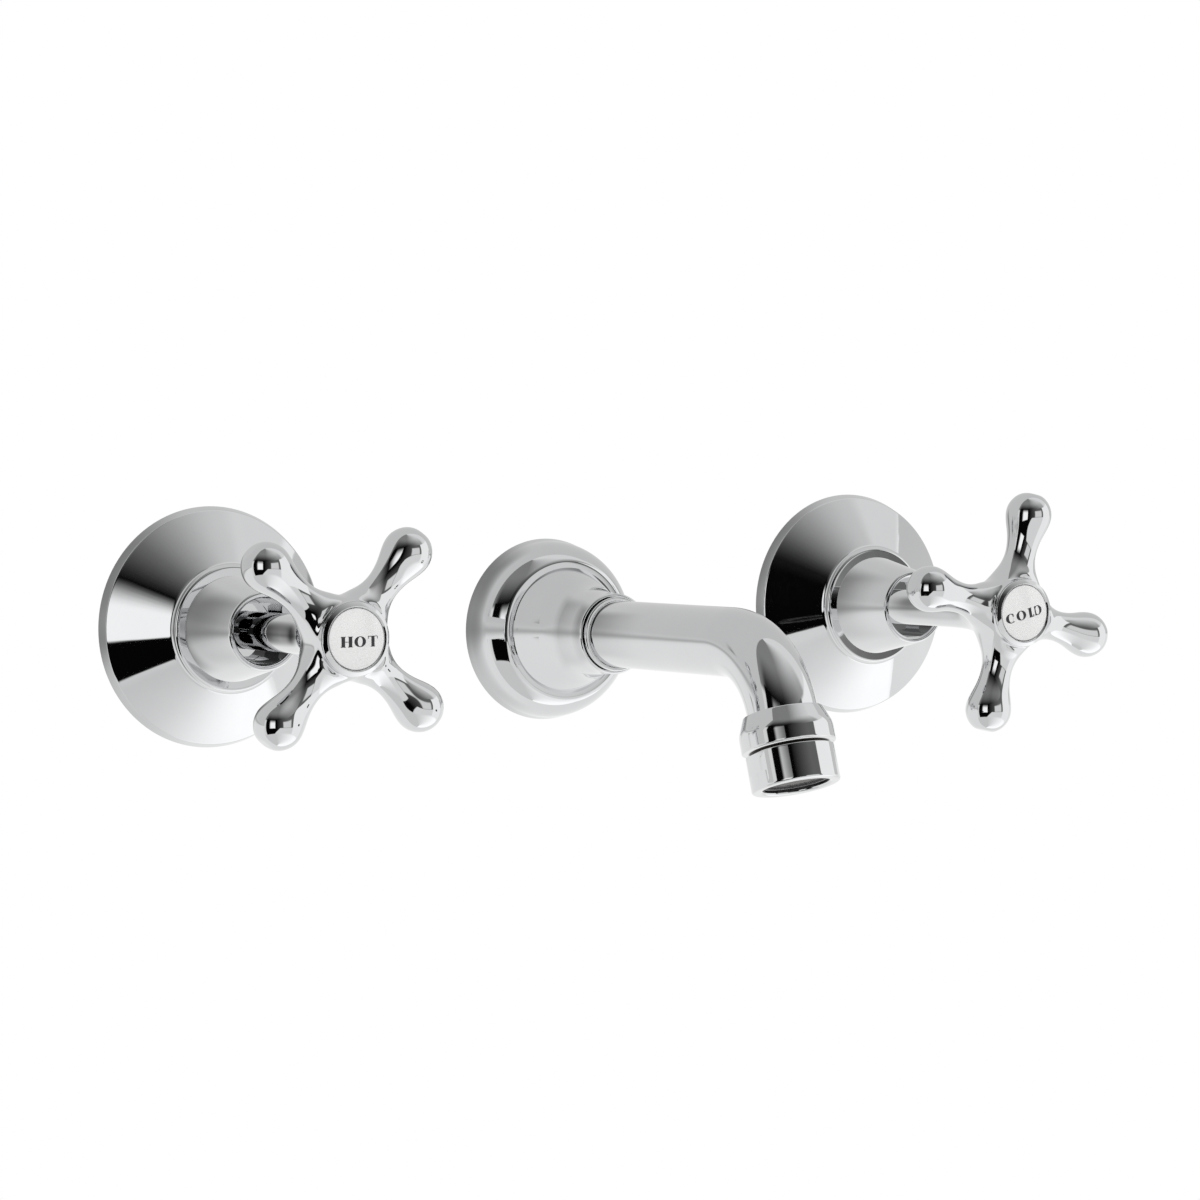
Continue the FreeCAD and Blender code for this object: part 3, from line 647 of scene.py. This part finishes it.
def wordPiece(side):
    t = lettering
    pieces = [piece for letter, along in t["words"][side] for piece in letterPieces(letter, along)]
    word = joinAll(pieces, side + "ButtonWord")
    lean = Matrix.Rotation(math.radians(-t["lean"][side]), 4, "Y")
    settle(word, lean @ Matrix.Translation((0, 0, -t["drop"][side] * mm)))
    for vertex in word.data.vertices:
        front = 0.5 - vertex.co.y / mm  # 0 at the back of a letter, 1 at its face
        depth = domeDepth(button, math.hypot(vertex.co.x, vertex.co.z) / mm)
        vertex.co.y = -(depth - t["sunk"] + (t["sunk"] + t["proud"]) * front) * mm
    closeMesh(word, 40)
    settle(word, valvePlace[side])
    return word


for side in ("hot", "cold"):
    dress(wordPiece(side), side + "_cross_handle", "white_ceramic", look=letterEnamel)
print("words set on the buttons")


# spout
spoutFlange = {"radius": 26.8, "band": 2.5, "draw": 0.7, "wall": 1.8, "step": 20.4, "stepDepth": 13.5,
               "ledge": 2.0, "stepRound": 2.4, "crown": 1.4, "crownSteps": 12, "waist": 13.0,
               "neck": 11.6, "depth": 40.5, "neckLength": 3.4, "tubeBore": 9.8, "ringBore": 10.95,
               "ringSeat": 37.4, "edgeRound": 0.6, "burr": 0.25}


def bulgedRun(start, end, crown, steps):
    # the points between start and end on an arc that bulges by crown away from the axis
    start, end = Vector(start), Vector(end)
    chord = end - start
    outward = Vector((chord.y, -chord.x)).normalized()
    half = 2 * math.atan(2 * crown / chord.length)
    radius = chord.length / (2 * math.sin(half))
    centre = (start + end) / 2 - outward * radius * math.cos(half)
    points = []
    for step in range(1, steps):
        turn = half * (2 * step / steps - 1)
        way = outward * math.cos(turn) + chord.normalized() * math.sin(turn)
        points.append(tuple(centre + way * radius))
    return points


def spoutFlangeCorners(f):
    ring = f["radius"] - f["draw"]
    neckBack = f["depth"] - f["neckLength"]
    bellRun = neckBack - f["stepDepth"]
    waistDepth = f["stepDepth"] + bellRun / 2
    return [
        (f["radius"], 0, f["burr"]), (ring, f["band"]),
        *bulgedRun((ring, f["band"]), (f["step"], f["stepDepth"]), f["crown"], f["crownSteps"]),
        (f["step"], f["stepDepth"], f["stepRound"]), (f["step"] - f["ledge"], f["stepDepth"]),
        (f["waist"], waistDepth, bellRun), (f["neck"], neckBack, bellRun),
        (f["neck"], f["depth"], f["edgeRound"]), (f["ringBore"], f["depth"]),
        (f["ringBore"], f["ringSeat"]), (f["tubeBore"], f["ringSeat"]),
        (f["tubeBore"], waistDepth - f["wall"]), (f["step"] - f["wall"], f["stepDepth"] - f["wall"]),
        (ring - f["wall"], f["band"]), (ring - f["wall"], 0, f["burr"]),
    ]


neckRing = {"radius": 10.7, "bore": 9.6, "back": 37.4, "front": 42.1, "round": 0.45}
endCollar = {"socket": 9.6, "top": 10.9, "shoulder": 4.8, "radius": 12.8, "length": 9.6,
             "edgeRound": 0.4, "spigot": 10.4, "spigotEnd": 14.2, "spigotRound": 0.3, "bore": 7.9,
             # the spigot's near-black colour below is painted shade for the gap above the aerator cap
             "seat": 4.6, "paintedShadeTop": 9.4, "paintedShadeReach": (10.5, 11.3), "paintedShadeRough": 0.45,
             "paintedShadeColour": (0.02, 0.018, 0.016, 1)}
nozzle = {"radius": 12.0, "top": 10.6, "end": 20.4, "lipTop": 18.9, "mouth": 9.2, "thread": 10.45,
          "edgeRound": 0.7, "flatDepth": 0.9, "flatLength": 5.4, "burr": 0.2,
          "cutWidth": 10.0, "cutOver": 2.0, "cutHeight": 30.0}

cover = turnPiece("spoutFlangeCover", spoutFlangeCorners(spoutFlange), stepAngle=5)
dress(cover, "wall_fittings", "chrome", "spout_flange")

n = neckRing
bead = turnPiece("spoutNeckBead", [(n["radius"], n["back"]), (n["radius"], n["front"], n["round"]),
                                   (n["bore"], n["front"], n["round"] / 2), (n["bore"], n["back"])])
dress(bead, "wall_fittings", "chrome", "spout_neck_ring")


def bentTube():
    rings = [(spout["radius"], spout[depth]) for depth in ("back", "midRing", "bendStart")]
    tube = extrudeRings("spoutTube", rings, spout["sides"], closed=False)
    bendStart = -spout["bendStart"] * mm
    selectInEdit(tube, "vertices", lambda co: abs(co.y - bendStart) < hairline)
    bpy.ops.mesh.select_mode(type="EDGE")
    bpy.ops.mesh.spin(steps=spout["bendSteps"], angle=-math.radians(spout["bendAngle"]),
                      center=bendCentre, axis=(1, 0, 0))
    outlet = outletPlace.to_3x3() @ Vector((0, -1, 0))
    bpy.ops.mesh.extrude_edges_move(TRANSFORM_OT_translate={"value": outlet * spout["seat"] * mm})
    closeMesh(tube)
    applyModifier(tube, "SOLIDIFY", thickness=spout["wall"] * mm, offset=-1, use_even_offset=True)
    closeMesh(tube)
    return tube


tube = bentTube()
dress(tube, "wall_fittings", "chrome", "spout_tube")

c = endCollar
collar = turnPiece("spoutEndCollar", [
    (c["socket"], 0), (c["top"], 0, c["edgeRound"]), (c["radius"], c["shoulder"], c["shoulder"]),
    (c["radius"], c["length"], c["edgeRound"]), (c["spigot"], c["length"]),
    (c["spigot"], c["spigotEnd"], c["spigotRound"]),
    (c["bore"], c["spigotEnd"]), (c["bore"], c["seat"]), (c["socket"], c["seat"]),
])
settle(collar, outletPlace)


def collarLookWithPaintedShade(tree):
    # chrome down to the collar's end, and below it the spigot painted near black: painted shade for the gap
    # between the collar and the aerator cap
    look = chromeLook(tree)
    place = node(tree, "ShaderNodeTexCoord", output="Object")
    down = outletPlace.to_3x3() @ Vector((0, -1, 0))
    top = outletPlace.translation
    along = node(tree, "ShaderNodeVectorMath", {"operation": "DOT_PRODUCT"}, {0: place, 1: down}, "Value")
    away = node(tree, "ShaderNodeVectorMath", {"operation": "SUBTRACT"}, {0: place, 1: top})
    away = node(tree, "ShaderNodeVectorMath", {"operation": "CROSS_PRODUCT"}, {0: away, 1: down})
    away = node(tree, "ShaderNodeVectorMath", {"operation": "LENGTH"}, {0: away}, "Value")
    e = endCollar
    low = smoothStep(tree, along - top.dot(down), e["paintedShadeTop"] * mm, e["length"] * mm)
    inside = 1 - smoothStep(tree, away, *(reach * mm for reach in e["paintedShadeReach"]))
    # painted shade: where the spigot shows in the gap it is coloured near black and rougher
    paintedShade = low * inside
    look["Base Color"] = node(tree, "ShaderNodeMix", {"data_type": "RGBA"},
                              {0: paintedShade, 6: look["Base Color"], 7: e["paintedShadeColour"]}, 2)
    look["Roughness"] = look["Roughness"] + paintedShade * e["paintedShadeRough"]
    return look


dress(collar, "wall_fittings", "chrome", "spout_end_collar", look=finish("collarChromePaintedShade", collarLookWithPaintedShade))

z = nozzle
cap = turnPiece("aeratorCap", [
    (z["radius"], z["top"], z["burr"]), (z["radius"], z["end"], z["edgeRound"]),
    (z["mouth"], z["end"], z["edgeRound"]), (z["mouth"], z["lipTop"]),
    (z["thread"], z["lipTop"]), (z["thread"], z["top"], z["burr"]),
])
# two spanner flats at the cap's top
cutReach = (z["radius"] - z["flatDepth"] + z["cutWidth"] / 2) * mm
cutDepth = (z["top"] + (z["flatLength"] - z["cutOver"]) / 2) * mm
cutSize = (z["cutWidth"] * mm, (z["flatLength"] + z["cutOver"]) * mm, z["cutHeight"] * mm)
for way in (-1, 1):
    cutter = block((way * cutReach, -cutDepth, 0), cutSize)
    applyModifier(cap, "BOOLEAN", object=cutter, operation="DIFFERENCE", solver="EXACT")
    bpy.data.objects.remove(cutter)
closeMesh(cap)
settle(cap, outletPlace)
dress(cap, "wall_fittings", "chrome", "aerator_housing")

# woven screen behind the outlet's lip
screen = {"radius": 8.7, "rim": 0.8, "back": 17.8, "front": 18.4, "pitch": 0.85, "wire": 0.3,
          "edgeRound": 0.15, "sides": 72}


def outletScreen(w):
    back, front, outside, inside = w["back"], w["front"], w["radius"], w["radius"] - w["rim"]
    corners = [(outside, back), (outside, front), (inside, front), (inside, back)]
    ring = turnPiece("outletScreen", [(*corner, w["edgeRound"]) for corner in corners], w["sides"])
    cells = 2 * math.ceil(w["radius"] / w["pitch"])
    startFresh()
    bpy.ops.mesh.primitive_grid_add(x_subdivisions=cells, y_subdivisions=cells,
                                    size=cells * w["pitch"] * mm, rotation=(math.pi / 2, 0, 0),
                                    location=(0, -(back + front) / 2 * mm, 0))
    wires = freeze()
    wireReach = (w["radius"] - w["rim"] / 4) * mm
    selectInEdit(wires, "vertices", lambda co: math.hypot(co.x, co.z) > wireReach)
    bpy.ops.mesh.delete(type="VERT")
    setMode("OBJECT")
    applyModifier(wires, "WIREFRAME", thickness=w["wire"] * mm, use_even_offset=True, use_boundary=True)
    joinAll([ring, wires], "outletScreen")
    closeMesh(ring)
    return ring


mesh = outletScreen(screen)
settle(mesh, outletPlace)
dress(mesh, "wall_fittings", "steel", "aerator_mesh")
for piece in (tube, collar, cap, mesh):
    piece.visible_glossy = False  # the valves don't mirror the spout in the photo
print("spout modelled")


# breech behind the wall: cast bodies with supply threads, and the copper tubes brazed between them
# bores run past the faces they open in
casting = {"voxel": 0.7, "smooth": 0.5, "passes": 16, "sides": 64, "past": 1.0}
valveBody = {
    "radius": 15.0, "mouth": -6.0, "back": -59.9, "inletDepth": -46.65, "inletBoss": 12.5,
    "inletReach": 19.0, "spigot": 9.75, "spigotReach": 34.0, "inletBore": 6.8, "outletDepth": -27.7,
    "sideBoss": 10.5, "sideReach": 27.0, "lugFront": -55.9, "lugReach": 21.0, "lugHalfHeight": 10.0,
    "hole": 2.6, "holeReach": 24.0,
    "waterway": [(7.0, -53.9), (7.0, -39.4), (5.0, -39.4), (5.0, -33.4), (6.8, -33.4), (6.8, -34.4),
                 (9.3, -34.4), (9.3, -21.0), (10.45, -21.0), (10.45, -5.0), (0.0, -5.0)],
}
teeBody = {
    "radius": 14.0, "mouth": -6.0, "back": -40.2, "boss": 10.5, "bossReach": 25.0, "bossHeight": 4.2,
    "waterway": [(7.5, -35.2), (7.5, -20.0), (10.45, -20.0), (10.45, -5.0), (0.0, -5.0)],
}
supplyThread = {"tip": 10.45, "root": 9.4, "halfWidth": 0.85, "pitch": 1.814, "turns": 7, "start": -33.1,
                "steps": 40}
crossTube = {"radius": 7.5, "bore": 6.5, "teeEnd": 16.0, "bodyEnd": 90.5, "socket": 7.55,
             "socketDepth": 9.0, "burr": 0.2, "sides": 96}
braze = {"height": 1.5, "run": 2.0, "sunk": 0.7, "hollow": 2.2, "skin": 0.1, "step": 0.2, "sides": 64}


def spot(across, depth, height):
    return Vector((across, -depth, height)) * mm


def rod(radius, start, end):
    # a plain rod, to join to a casting or to cut a bore
    startFresh()
    run = end - start
    turn = run.to_track_quat("Z", "Y").to_euler()
    bpy.ops.mesh.primitive_cylinder_add(vertices=casting["sides"], radius=radius * mm, depth=run.length,
                                        location=(start + end) / 2, rotation=turn)
    return freeze()


def waterway(rings):
    bore = extrudeRings("waterway", rings, casting["sides"], closed=False, capFirst=True)
    closeMesh(bore)
    return bore


def castPiece(name, lumps, bores):
    # the lumps run together with cast fillets, then the bores are machined
    piece = joinAll(lumps, name)
    applyModifier(piece, "REMESH", mode="VOXEL", voxel_size=casting["voxel"] * mm)
    applyModifier(piece, "SMOOTH", factor=casting["smooth"], iterations=casting["passes"])
    for bore in bores:
        applyModifier(piece, "BOOLEAN", object=bore, operation="DIFFERENCE", solver="MANIFOLD")
        bpy.data.objects.remove(bore)
    closeMesh(piece)
    return piece


def valveCasting(b):
    inlet, outlet = spot(0, b["inletDepth"], 0), spot(0, b["outletDepth"], 0)
    down, aside = Vector((0, 0, -mm)), Vector((-mm, 0, 0))
    lumps = [
        rod(b["radius"], spot(0, b["back"], 0), spot(0, b["mouth"], 0)),
        rod(b["inletBoss"], inlet, inlet + down * b["inletReach"]),
        rod(b["spigot"], inlet, inlet + down * b["spigotReach"]),
        rod(b["sideBoss"], outlet, outlet + aside * b["sideReach"]),
    ]
    lugMiddle = (b["back"] + b["lugFront"]) / 2
    plate = Vector((2 * b["lugReach"], b["lugFront"] - b["back"], 2 * b["lugHalfHeight"])) * mm
    lumps.append(block(spot(0, lugMiddle, 0), plate))
    pipe, past = crossTube, casting["past"]
    socketStart = b["sideReach"] - pipe["socketDepth"]
    bores = [
        waterway(b["waterway"]),
        rod(b["inletBore"], inlet, inlet + down * (b["spigotReach"] + past)),
        rod(pipe["bore"], outlet + aside * pipe["bore"], outlet + aside * (socketStart + past)),
        rod(pipe["socket"], outlet + aside * socketStart, outlet + aside * (b["sideReach"] + past)),
    ]
    for way in (-1, 1):
        end = way * b["lugReach"]
        lumps.append(rod(b["lugHalfHeight"], spot(end, b["back"], 0), spot(end, b["lugFront"], 0)))
        hole = way * b["holeReach"]
        bores.append(rod(b["hole"], spot(hole, b["back"] - past, 0), spot(hole, b["lugFront"] + past, 0)))
    return castPiece("valveCasting", lumps, bores)


def threadRidge(t):
    # a triangle on edge, screwed up round the supply spigot
    startFresh()
    bpy.ops.mesh.primitive_circle_add(vertices=3, radius=mm)
    ridge = bpy.context.active_object
    rise = (t["tip"] - t["root"]) / 1.5  # a triangle of radius 1 is 1.5 high
    spread = t["halfWidth"] / math.cos(math.radians(30))
    profile = Matrix(((0, rise, 0, 0), (0, 0, 1, 0), (spread, 0, 0, 0), (0, 0, 0, 1)))
    settle(ridge, Matrix.Translation(((t["root"] + rise / 2) * mm, 0, t["start"] * mm)) @ profile)
    applyModifier(ridge, "SCREW", axis="Z", angle=2 * math.pi, screw_offset=t["pitch"] * mm,
                  iterations=t["turns"], steps=t["steps"], render_steps=t["steps"])
    makeActive(ridge)
    setMode("EDIT")
    bpy.ops.mesh.select_all(action="SELECT")
    bpy.ops.mesh.fill_holes(sides=3)
    setMode("OBJECT")
    settle(ridge, Matrix.Translation(spot(0, valveBody["inletDepth"], 0)))
    return ridge


castingModel = valveCasting(valveBody)
for side, flip in (("hot", -1), ("cold", 1)):
    body = copyOf(castingModel, side + "ValveCasting")
    settle(body, Matrix.Scale(flip, 4, (1, 0, 0)))
    body = joinAll([body, threadRidge(supplyThread)], side + "ValveCasting")
    closeMesh(body, 40)
    settle(body, valvePlace[side])
    dress(body, "wall_fittings", "brass", side + "_valve_body")
bpy.data.objects.remove(castingModel)

t, p = teeBody, crossTube
bossEnds = [spot(way * t["bossReach"], valveBody["outletDepth"], t["bossHeight"]) for way in (-1, 1)]
outward = Vector((casting["past"] * mm, 0, 0))
teeBores = [waterway(t["waterway"]), rod(p["bore"], *bossEnds)]
for way, end in zip((-1, 1), bossEnds):
    socketEnd = end - Vector((way * p["socketDepth"] * mm, 0, 0))
    teeBores.append(rod(p["socket"], socketEnd, end + outward * way))
teeLumps = [rod(t["radius"], spot(0, t["back"], 0), spot(0, t["mouth"], 0)), rod(t["boss"], *bossEnds)]
dress(castPiece("teeCasting", teeLumps, teeBores), "wall_fittings", "brass", "mixing_tee")

bodyFace = p["bodyEnd"] - p["socketDepth"]
for side, way in (("hot", -1), ("cold", 1)):
    middle = Matrix.Translation(spot(0, valveBody["outletDepth"], t["bossHeight"]))
    along = middle @ Matrix.Rotation(way * math.pi / 2, 4, "Z")
    pipe = turnPiece(side + "CopperTube", [
        (p["radius"], p["teeEnd"], p["burr"]), (p["radius"], p["bodyEnd"], p["burr"]),
        (p["bore"], p["bodyEnd"], p["burr"]), (p["bore"], p["teeEnd"], p["burr"]),
    ], p["sides"])
    settle(pipe, along)
    dress(pipe, "wall_fittings", "copper", side + "_cross_tube")
    fillets = []
    for face, out in ((t["bossReach"], 1), (bodyFace, -1)):
        low, skin, top = (p["radius"] + rise for rise in (-braze["skin"], braze["skin"], braze["height"]))
        foot, toe = face - out * braze["sunk"], face + out * braze["run"]
        corners = [(low, foot), (top, foot), (top, face),
                   (skin, face + out * braze["step"], braze["hollow"]), (skin, toe), (low, toe)]
        fillets.append(turnPiece("fillet", corners, braze["sides"]))
    joint = joinAll(fillets, side + "BrazedJoints")
    closeMesh(joint)
    settle(joint, along)
    dress(joint, "wall_fittings", "brass")
print("breech modelled")


# stage, light and camera
def stageSheet(name, corners, material):
    startFresh()
    bpy.ops.mesh.primitive_plane_add(size=1)
    sheet = bpy.context.active_object
    sheet.name = name
    for vertex, corner in zip(sheet.data.vertices, corners):
        vertex.co = corner
    sheet.data.materials.append(material)
    return sheet


def seenRay(tree):
    # camera, mirror and glass rays, which see the paper as plain white
    kinds = ("Is Camera Ray", "Is Glossy Ray", "Is Transmission Ray")
    rays = [node(tree, "ShaderNodeLightPath", output=kind) for kind in kinds]
    seen = node(tree, "ShaderNodeMath", {"operation": "MAXIMUM"}, {0: rays[0], 1: rays[1]})
    return node(tree, "ShaderNodeMath", {"operation": "MAXIMUM"}, {0: seen, 1: rays[2]})


def paperLook(name, shade):
    material = bpy.data.materials.new(name)
    material.use_nodes = True
    tree = material.node_tree
    tree.nodes.clear()
    return material, tree, node(tree, "ShaderNodeBsdfDiffuse", None, {"Color": (shade, shade, shade, 1)})


def wallPaper(name, rims):
    # white from the room, clear from behind for the in-wall pieces, shaded for the metal that mirrors it
    material, tree, paper = paperLook(name, studio["paper"])
    place = node(tree, "ShaderNodeTexCoord", output="Object")
    across = node(tree, "ShaderNodeSeparateXYZ", None, {0: place}, "X")
    height = node(tree, "ShaderNodeSeparateXYZ", None, {0: place}, "Z")
    # painted shade for mirror rays: a dark band at the flanges' height and a darker upper half
    shadeBand = between(tree, height, -shading["shadeBandHalf"], shading["shadeBandHalf"], shading["shadeBandSoft"])
    upper = smoothStep(tree, height, -shading["upperSoft"], shading["upperSoft"])
    bright = (1 - upper * shading["upperShade"]) * (1 - shadeBand * shading["shadeBandShade"])
    rimShade = (shading["rimLow"] + upper * (1 - shading["rimLow"])) * shading["rimShade"]
    for cover in rims:
        low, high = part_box(cover)
        rim, middle = (high.x - low.x) / 2, (low.x + high.x) / 2
        away = node(tree, "ShaderNodeVectorMath", {"operation": "DISTANCE"},
                    {0: place, 1: (middle, 0, (low.z + high.z) / 2)}, "Value")
        # painted contact shade on the wall round the left of each flange's rim, seen only in mirror rays
        near = smoothStep(tree, away, rim * shading["rimStart"], rim) * (
            1 - smoothStep(tree, away, rim, rim + shading["rimReach"]))
        fade = (rim * share for share in shading["rimFade"])
        leftSide = 1 - smoothStep(tree, across - middle, *fade)
        bright = bright * (1 - near * leftSide * rimShade)
        if cover == "hot_wall_flange":
            # painted shade inside the left of the hot flange's rim, which the hot handle's neck mirrors
            start, end = (rim * share for share in shading["neckFade"])
            inside = 1 - smoothStep(tree, away, start, end)
            bright = bright * (1 - leftSide * inside * shading["neckShade"])
    mirrored = node(tree, "ShaderNodeLightPath", output="Is Glossy Ray")
    glow = node(tree, "ShaderNodeEmission", None,
                {"Color": (1, 1, 1, 1), "Strength": 1 - mirrored * (1 - bright)})
    front = node(tree, "ShaderNodeMixShader", None, {0: seenRay(tree), 1: paper, 2: glow})
    behind = node(tree, "ShaderNodeNewGeometry", output="Backfacing")
    clear = node(tree, "ShaderNodeBsdfTransparent")
    both = node(tree, "ShaderNodeMixShader", None, {0: behind, 1: front, 2: clear})
    node(tree, "ShaderNodeOutputMaterial", None, {"Surface": both})
    return material


def floorPaper():
    material, tree, paper = paperLook("floorPaper", studio["paper"])
    node(tree, "ShaderNodeOutputMaterial", None, {"Surface": paper})
    return material


studio = {"wallHalf": 2.5, "floorHeight": -0.45, "wallOut": 0.0004, "paper": 0.9, "light": 0.72}
# painted shade on the wall, seen only in mirror rays
shading = {"shadeBandHalf": 0.005, "shadeBandSoft": 0.006, "shadeBandShade": 0.35, "upperSoft": 0.02, "upperShade": 0.28,
           "rimStart": 0.7, "rimReach": 0.026, "rimFade": (-0.8, -0.1), "rimShade": 0.62, "rimLow": 0.35,
           # painted shade on the wall that the hot handle's neck mirrors
           "neckFade": (0.8, 1.0), "neckShade": 0.9}
card = {"aside": 0.015, "deep": 0.072, "half": 0.018}
w, f, y = studio["wallHalf"], studio["floorHeight"], studio["wallOut"]
stageSheet("studioWall", [(-w, y, f), (w, y, f), (-w, y, w), (w, y, w)],
           wallPaper("wallPaper", ("hot_wall_flange", "cold_wall_flange", "spout_flange")))
floorSheet = stageSheet("studioFloor", [(-w, -w, f), (w, -w, f), (-w, w, f), (w, w, f)], floorPaper())
floorSheet.visible_glossy = False

# a glowing card that only mirror rays see: a painted reflection of plain wall that the spout's flange
# mirrors in place of the hot sleeve and neck
hotMiddle = valvePlace["hot"].translation
x, front = hotMiddle.x + card["aside"], -card["deep"]
low, high = hotMiddle.z - card["half"], hotMiddle.z + card["half"]
cardSheet = stageSheet("paintedReflectionCard", [(x, front, low), (x, 0, low), (x, front, high), (x, 0, high)],
                       wallPaper("cardPaper", ()))
for ray in ("camera", "diffuse", "transmission", "shadow"):
    setattr(cardSheet, "visible_" + ray, False)

# what the metal sees of the room, in degrees
# bearings count from straight out of the wall, towards the hot side
room = {
    "middle": 0.9,
    # (right bearing, its brightness, left bearing, its brightness)
    "floor": (-75, 1.45, 40, 0.78), "floorTop": -33, "floorSoft": 5,
    "ceiling": (-66, 0.92, 28, 0.28), "ceilingFoot": 24, "ceilingSoft": 3,
    "dusk": {"right": -62, "left": 84, "soft": 8, "dark": 25, "clear": 64,
             "depth": (-40, 0.5, 25, 1)},
    # a dark curtain in front of the wall, with its lower edge higher at the right
    "curtain": {"right": -42, "left": 84, "top": 29, "soft": 0.9,
                "shade": (-20, 0.16, 33, 0.002), "foot": (18, -8, 44, -33)},
    "sideLight": {"right": -100, "left": -42, "low": -33, "high": 28, "soft": 2, "bright": 1.15},
    # two lit openings in the curtain: (right, left) and (low, high) edges, each edge from clear to full
    "openings": [
        {"right": (39.7, 41.3), "left": (68, 60), "low": (-10, -8), "high": (29, 11), "bright": 1.28},
        {"right": (-36, -30), "left": (6, 0), "low": (-9, -5), "high": (21, 15), "bright": 0.85},
    ],
}


def slope(tree, value, start, startValue, end, endValue):
    return node(tree, "ShaderNodeMapRange", None, {"Value": value, "From Min": start, "From Max": end,
                                                   "To Min": startValue, "To Max": endValue}, "Result")


def studioSky():
    sky = bpy.data.worlds.new("studioSky")
    sky.use_nodes = True
    tree = sky.node_tree
    way = node(tree, "ShaderNodeTexCoord", output="Generated")
    x, y, z = (node(tree, "ShaderNodeSeparateXYZ", None, {0: way}, axis) for axis in "XYZ")
    bearing = node(tree, "ShaderNodeMath", {"operation": "ARCTAN2"}, {0: 0 - x, 1: 0 - y}) * math.degrees(1)
    height = node(tree, "ShaderNodeMath", {"operation": "ARCSINE"}, {0: z}) * math.degrees(1)

    def edge(value, clear, full):
        if clear < full:
            return smoothStep(tree, value, clear, full)
        return 1 - smoothStep(tree, value, full, clear)

    def lay(under, over, mask):
        return under + mask * (over - under)

    floorEdge = (room["floorTop"] + room["floorSoft"], room["floorTop"] - room["floorSoft"])
    shade = lay(room["middle"], slope(tree, bearing, *room["floor"]), edge(height, *floorEdge))
    d = room["dusk"]
    dusk = between(tree, bearing, d["right"], d["left"], d["soft"])
    dusk = dusk * (1 - smoothStep(tree, height, d["dark"], d["clear"]))
    dusk = dusk * slope(tree, bearing, *d["depth"])
    ceilingEdge = (room["ceilingFoot"] - room["ceilingSoft"], room["ceilingFoot"] + room["ceilingSoft"])
    shade = lay(shade, slope(tree, bearing, *room["ceiling"]) * (1 - dusk), edge(height, *ceilingEdge))
    s = room["sideLight"]
    sideMask = between(tree, bearing, s["right"], s["left"], s["soft"])
    sideMask = sideMask * between(tree, height, s["low"], s["high"], s["soft"])
    shade = lay(shade, s["bright"], sideMask)
    c = room["curtain"]
    foot = slope(tree, bearing, *c["foot"])
    curtain = between(tree, bearing, c["right"], c["left"], c["soft"])
    curtain = curtain * edge(height - foot, -c["soft"], c["soft"])
    curtain = curtain * edge(height, c["top"] + c["soft"], c["top"] - c["soft"])
    shade = lay(shade, slope(tree, bearing, *c["shade"]), curtain)
    for opening in room["openings"]:
        across = edge(bearing, *opening["right"]) * edge(bearing, *opening["left"])
        upright = edge(height, *opening["low"]) * edge(height, *opening["high"])
        shade = lay(shade, opening["bright"], across * upright)
    glossy = node(tree, "ShaderNodeLightPath", output="Is Glossy Ray")
    direct = node(tree, "ShaderNodeLightPath", output="Is Camera Ray")
    lit = studio["light"] + glossy * (shade - studio["light"])
    lit = lit + direct * (1 - lit)
    plug(tree, tree.nodes["Background"], {"Strength": lit, "Color": (1, 1, 1, 1)})
    return sky


scene.world = studioSky()


def softbox(name, place, aim, size, power):
    lamp = bpy.data.lights.new(name, "AREA")
    lamp.shape = "RECTANGLE"
    lamp.size, lamp.size_y = size
    lamp.energy = power
    holder = bpy.data.objects.new(name, lamp)
    bpy.context.collection.objects.link(holder)
    holder.location = place
    holder.visible_glossy = False
    holder.rotation_euler = (Vector(aim) - Vector(place)).to_track_quat("-Z", "Y").to_euler()


softbox("keyLight", (-0.9, -1.1, 1.3), (0, -0.05, 0), (0.9, 0.9), 8)
softbox("fillLight", (1.4, -1.0, 0.5), (0, -0.05, 0), (0.8, 1.2), 4)

photo = {"place": (-0.5455, -0.9475, 0.0522), "azimuth": -30.793, "elevation": 2.296, "roll": -0.604,
         "lens": 110.9, "sensor": 36.0, "clipEnd": 20}
azimuth, elevation, roll = (math.radians(photo[key]) for key in ("azimuth", "elevation", "roll"))
level = math.cos(elevation)
back = Vector((math.sin(azimuth) * level, -math.cos(azimuth) * level, math.sin(elevation)))
right = Vector((math.cos(azimuth), math.sin(azimuth), 0))
up = back.cross(right)
right, up = right * math.cos(roll) + up * math.sin(roll), up * math.cos(roll) - right * math.sin(roll)
camera = bpy.data.objects.new("photoCamera", bpy.data.cameras.new("photoCamera"))
bpy.context.collection.objects.link(camera)
camera.data.sensor_width = photo["sensor"]
camera.data.sensor_fit = "HORIZONTAL"
camera.data.lens = photo["lens"]
camera.data.clip_end = photo["clipEnd"]
camera.matrix_world = Matrix.Translation(photo["place"]) @ Matrix((right, up, back)).transposed().to_4x4()
scene.camera = camera
print("stage, light and camera set")
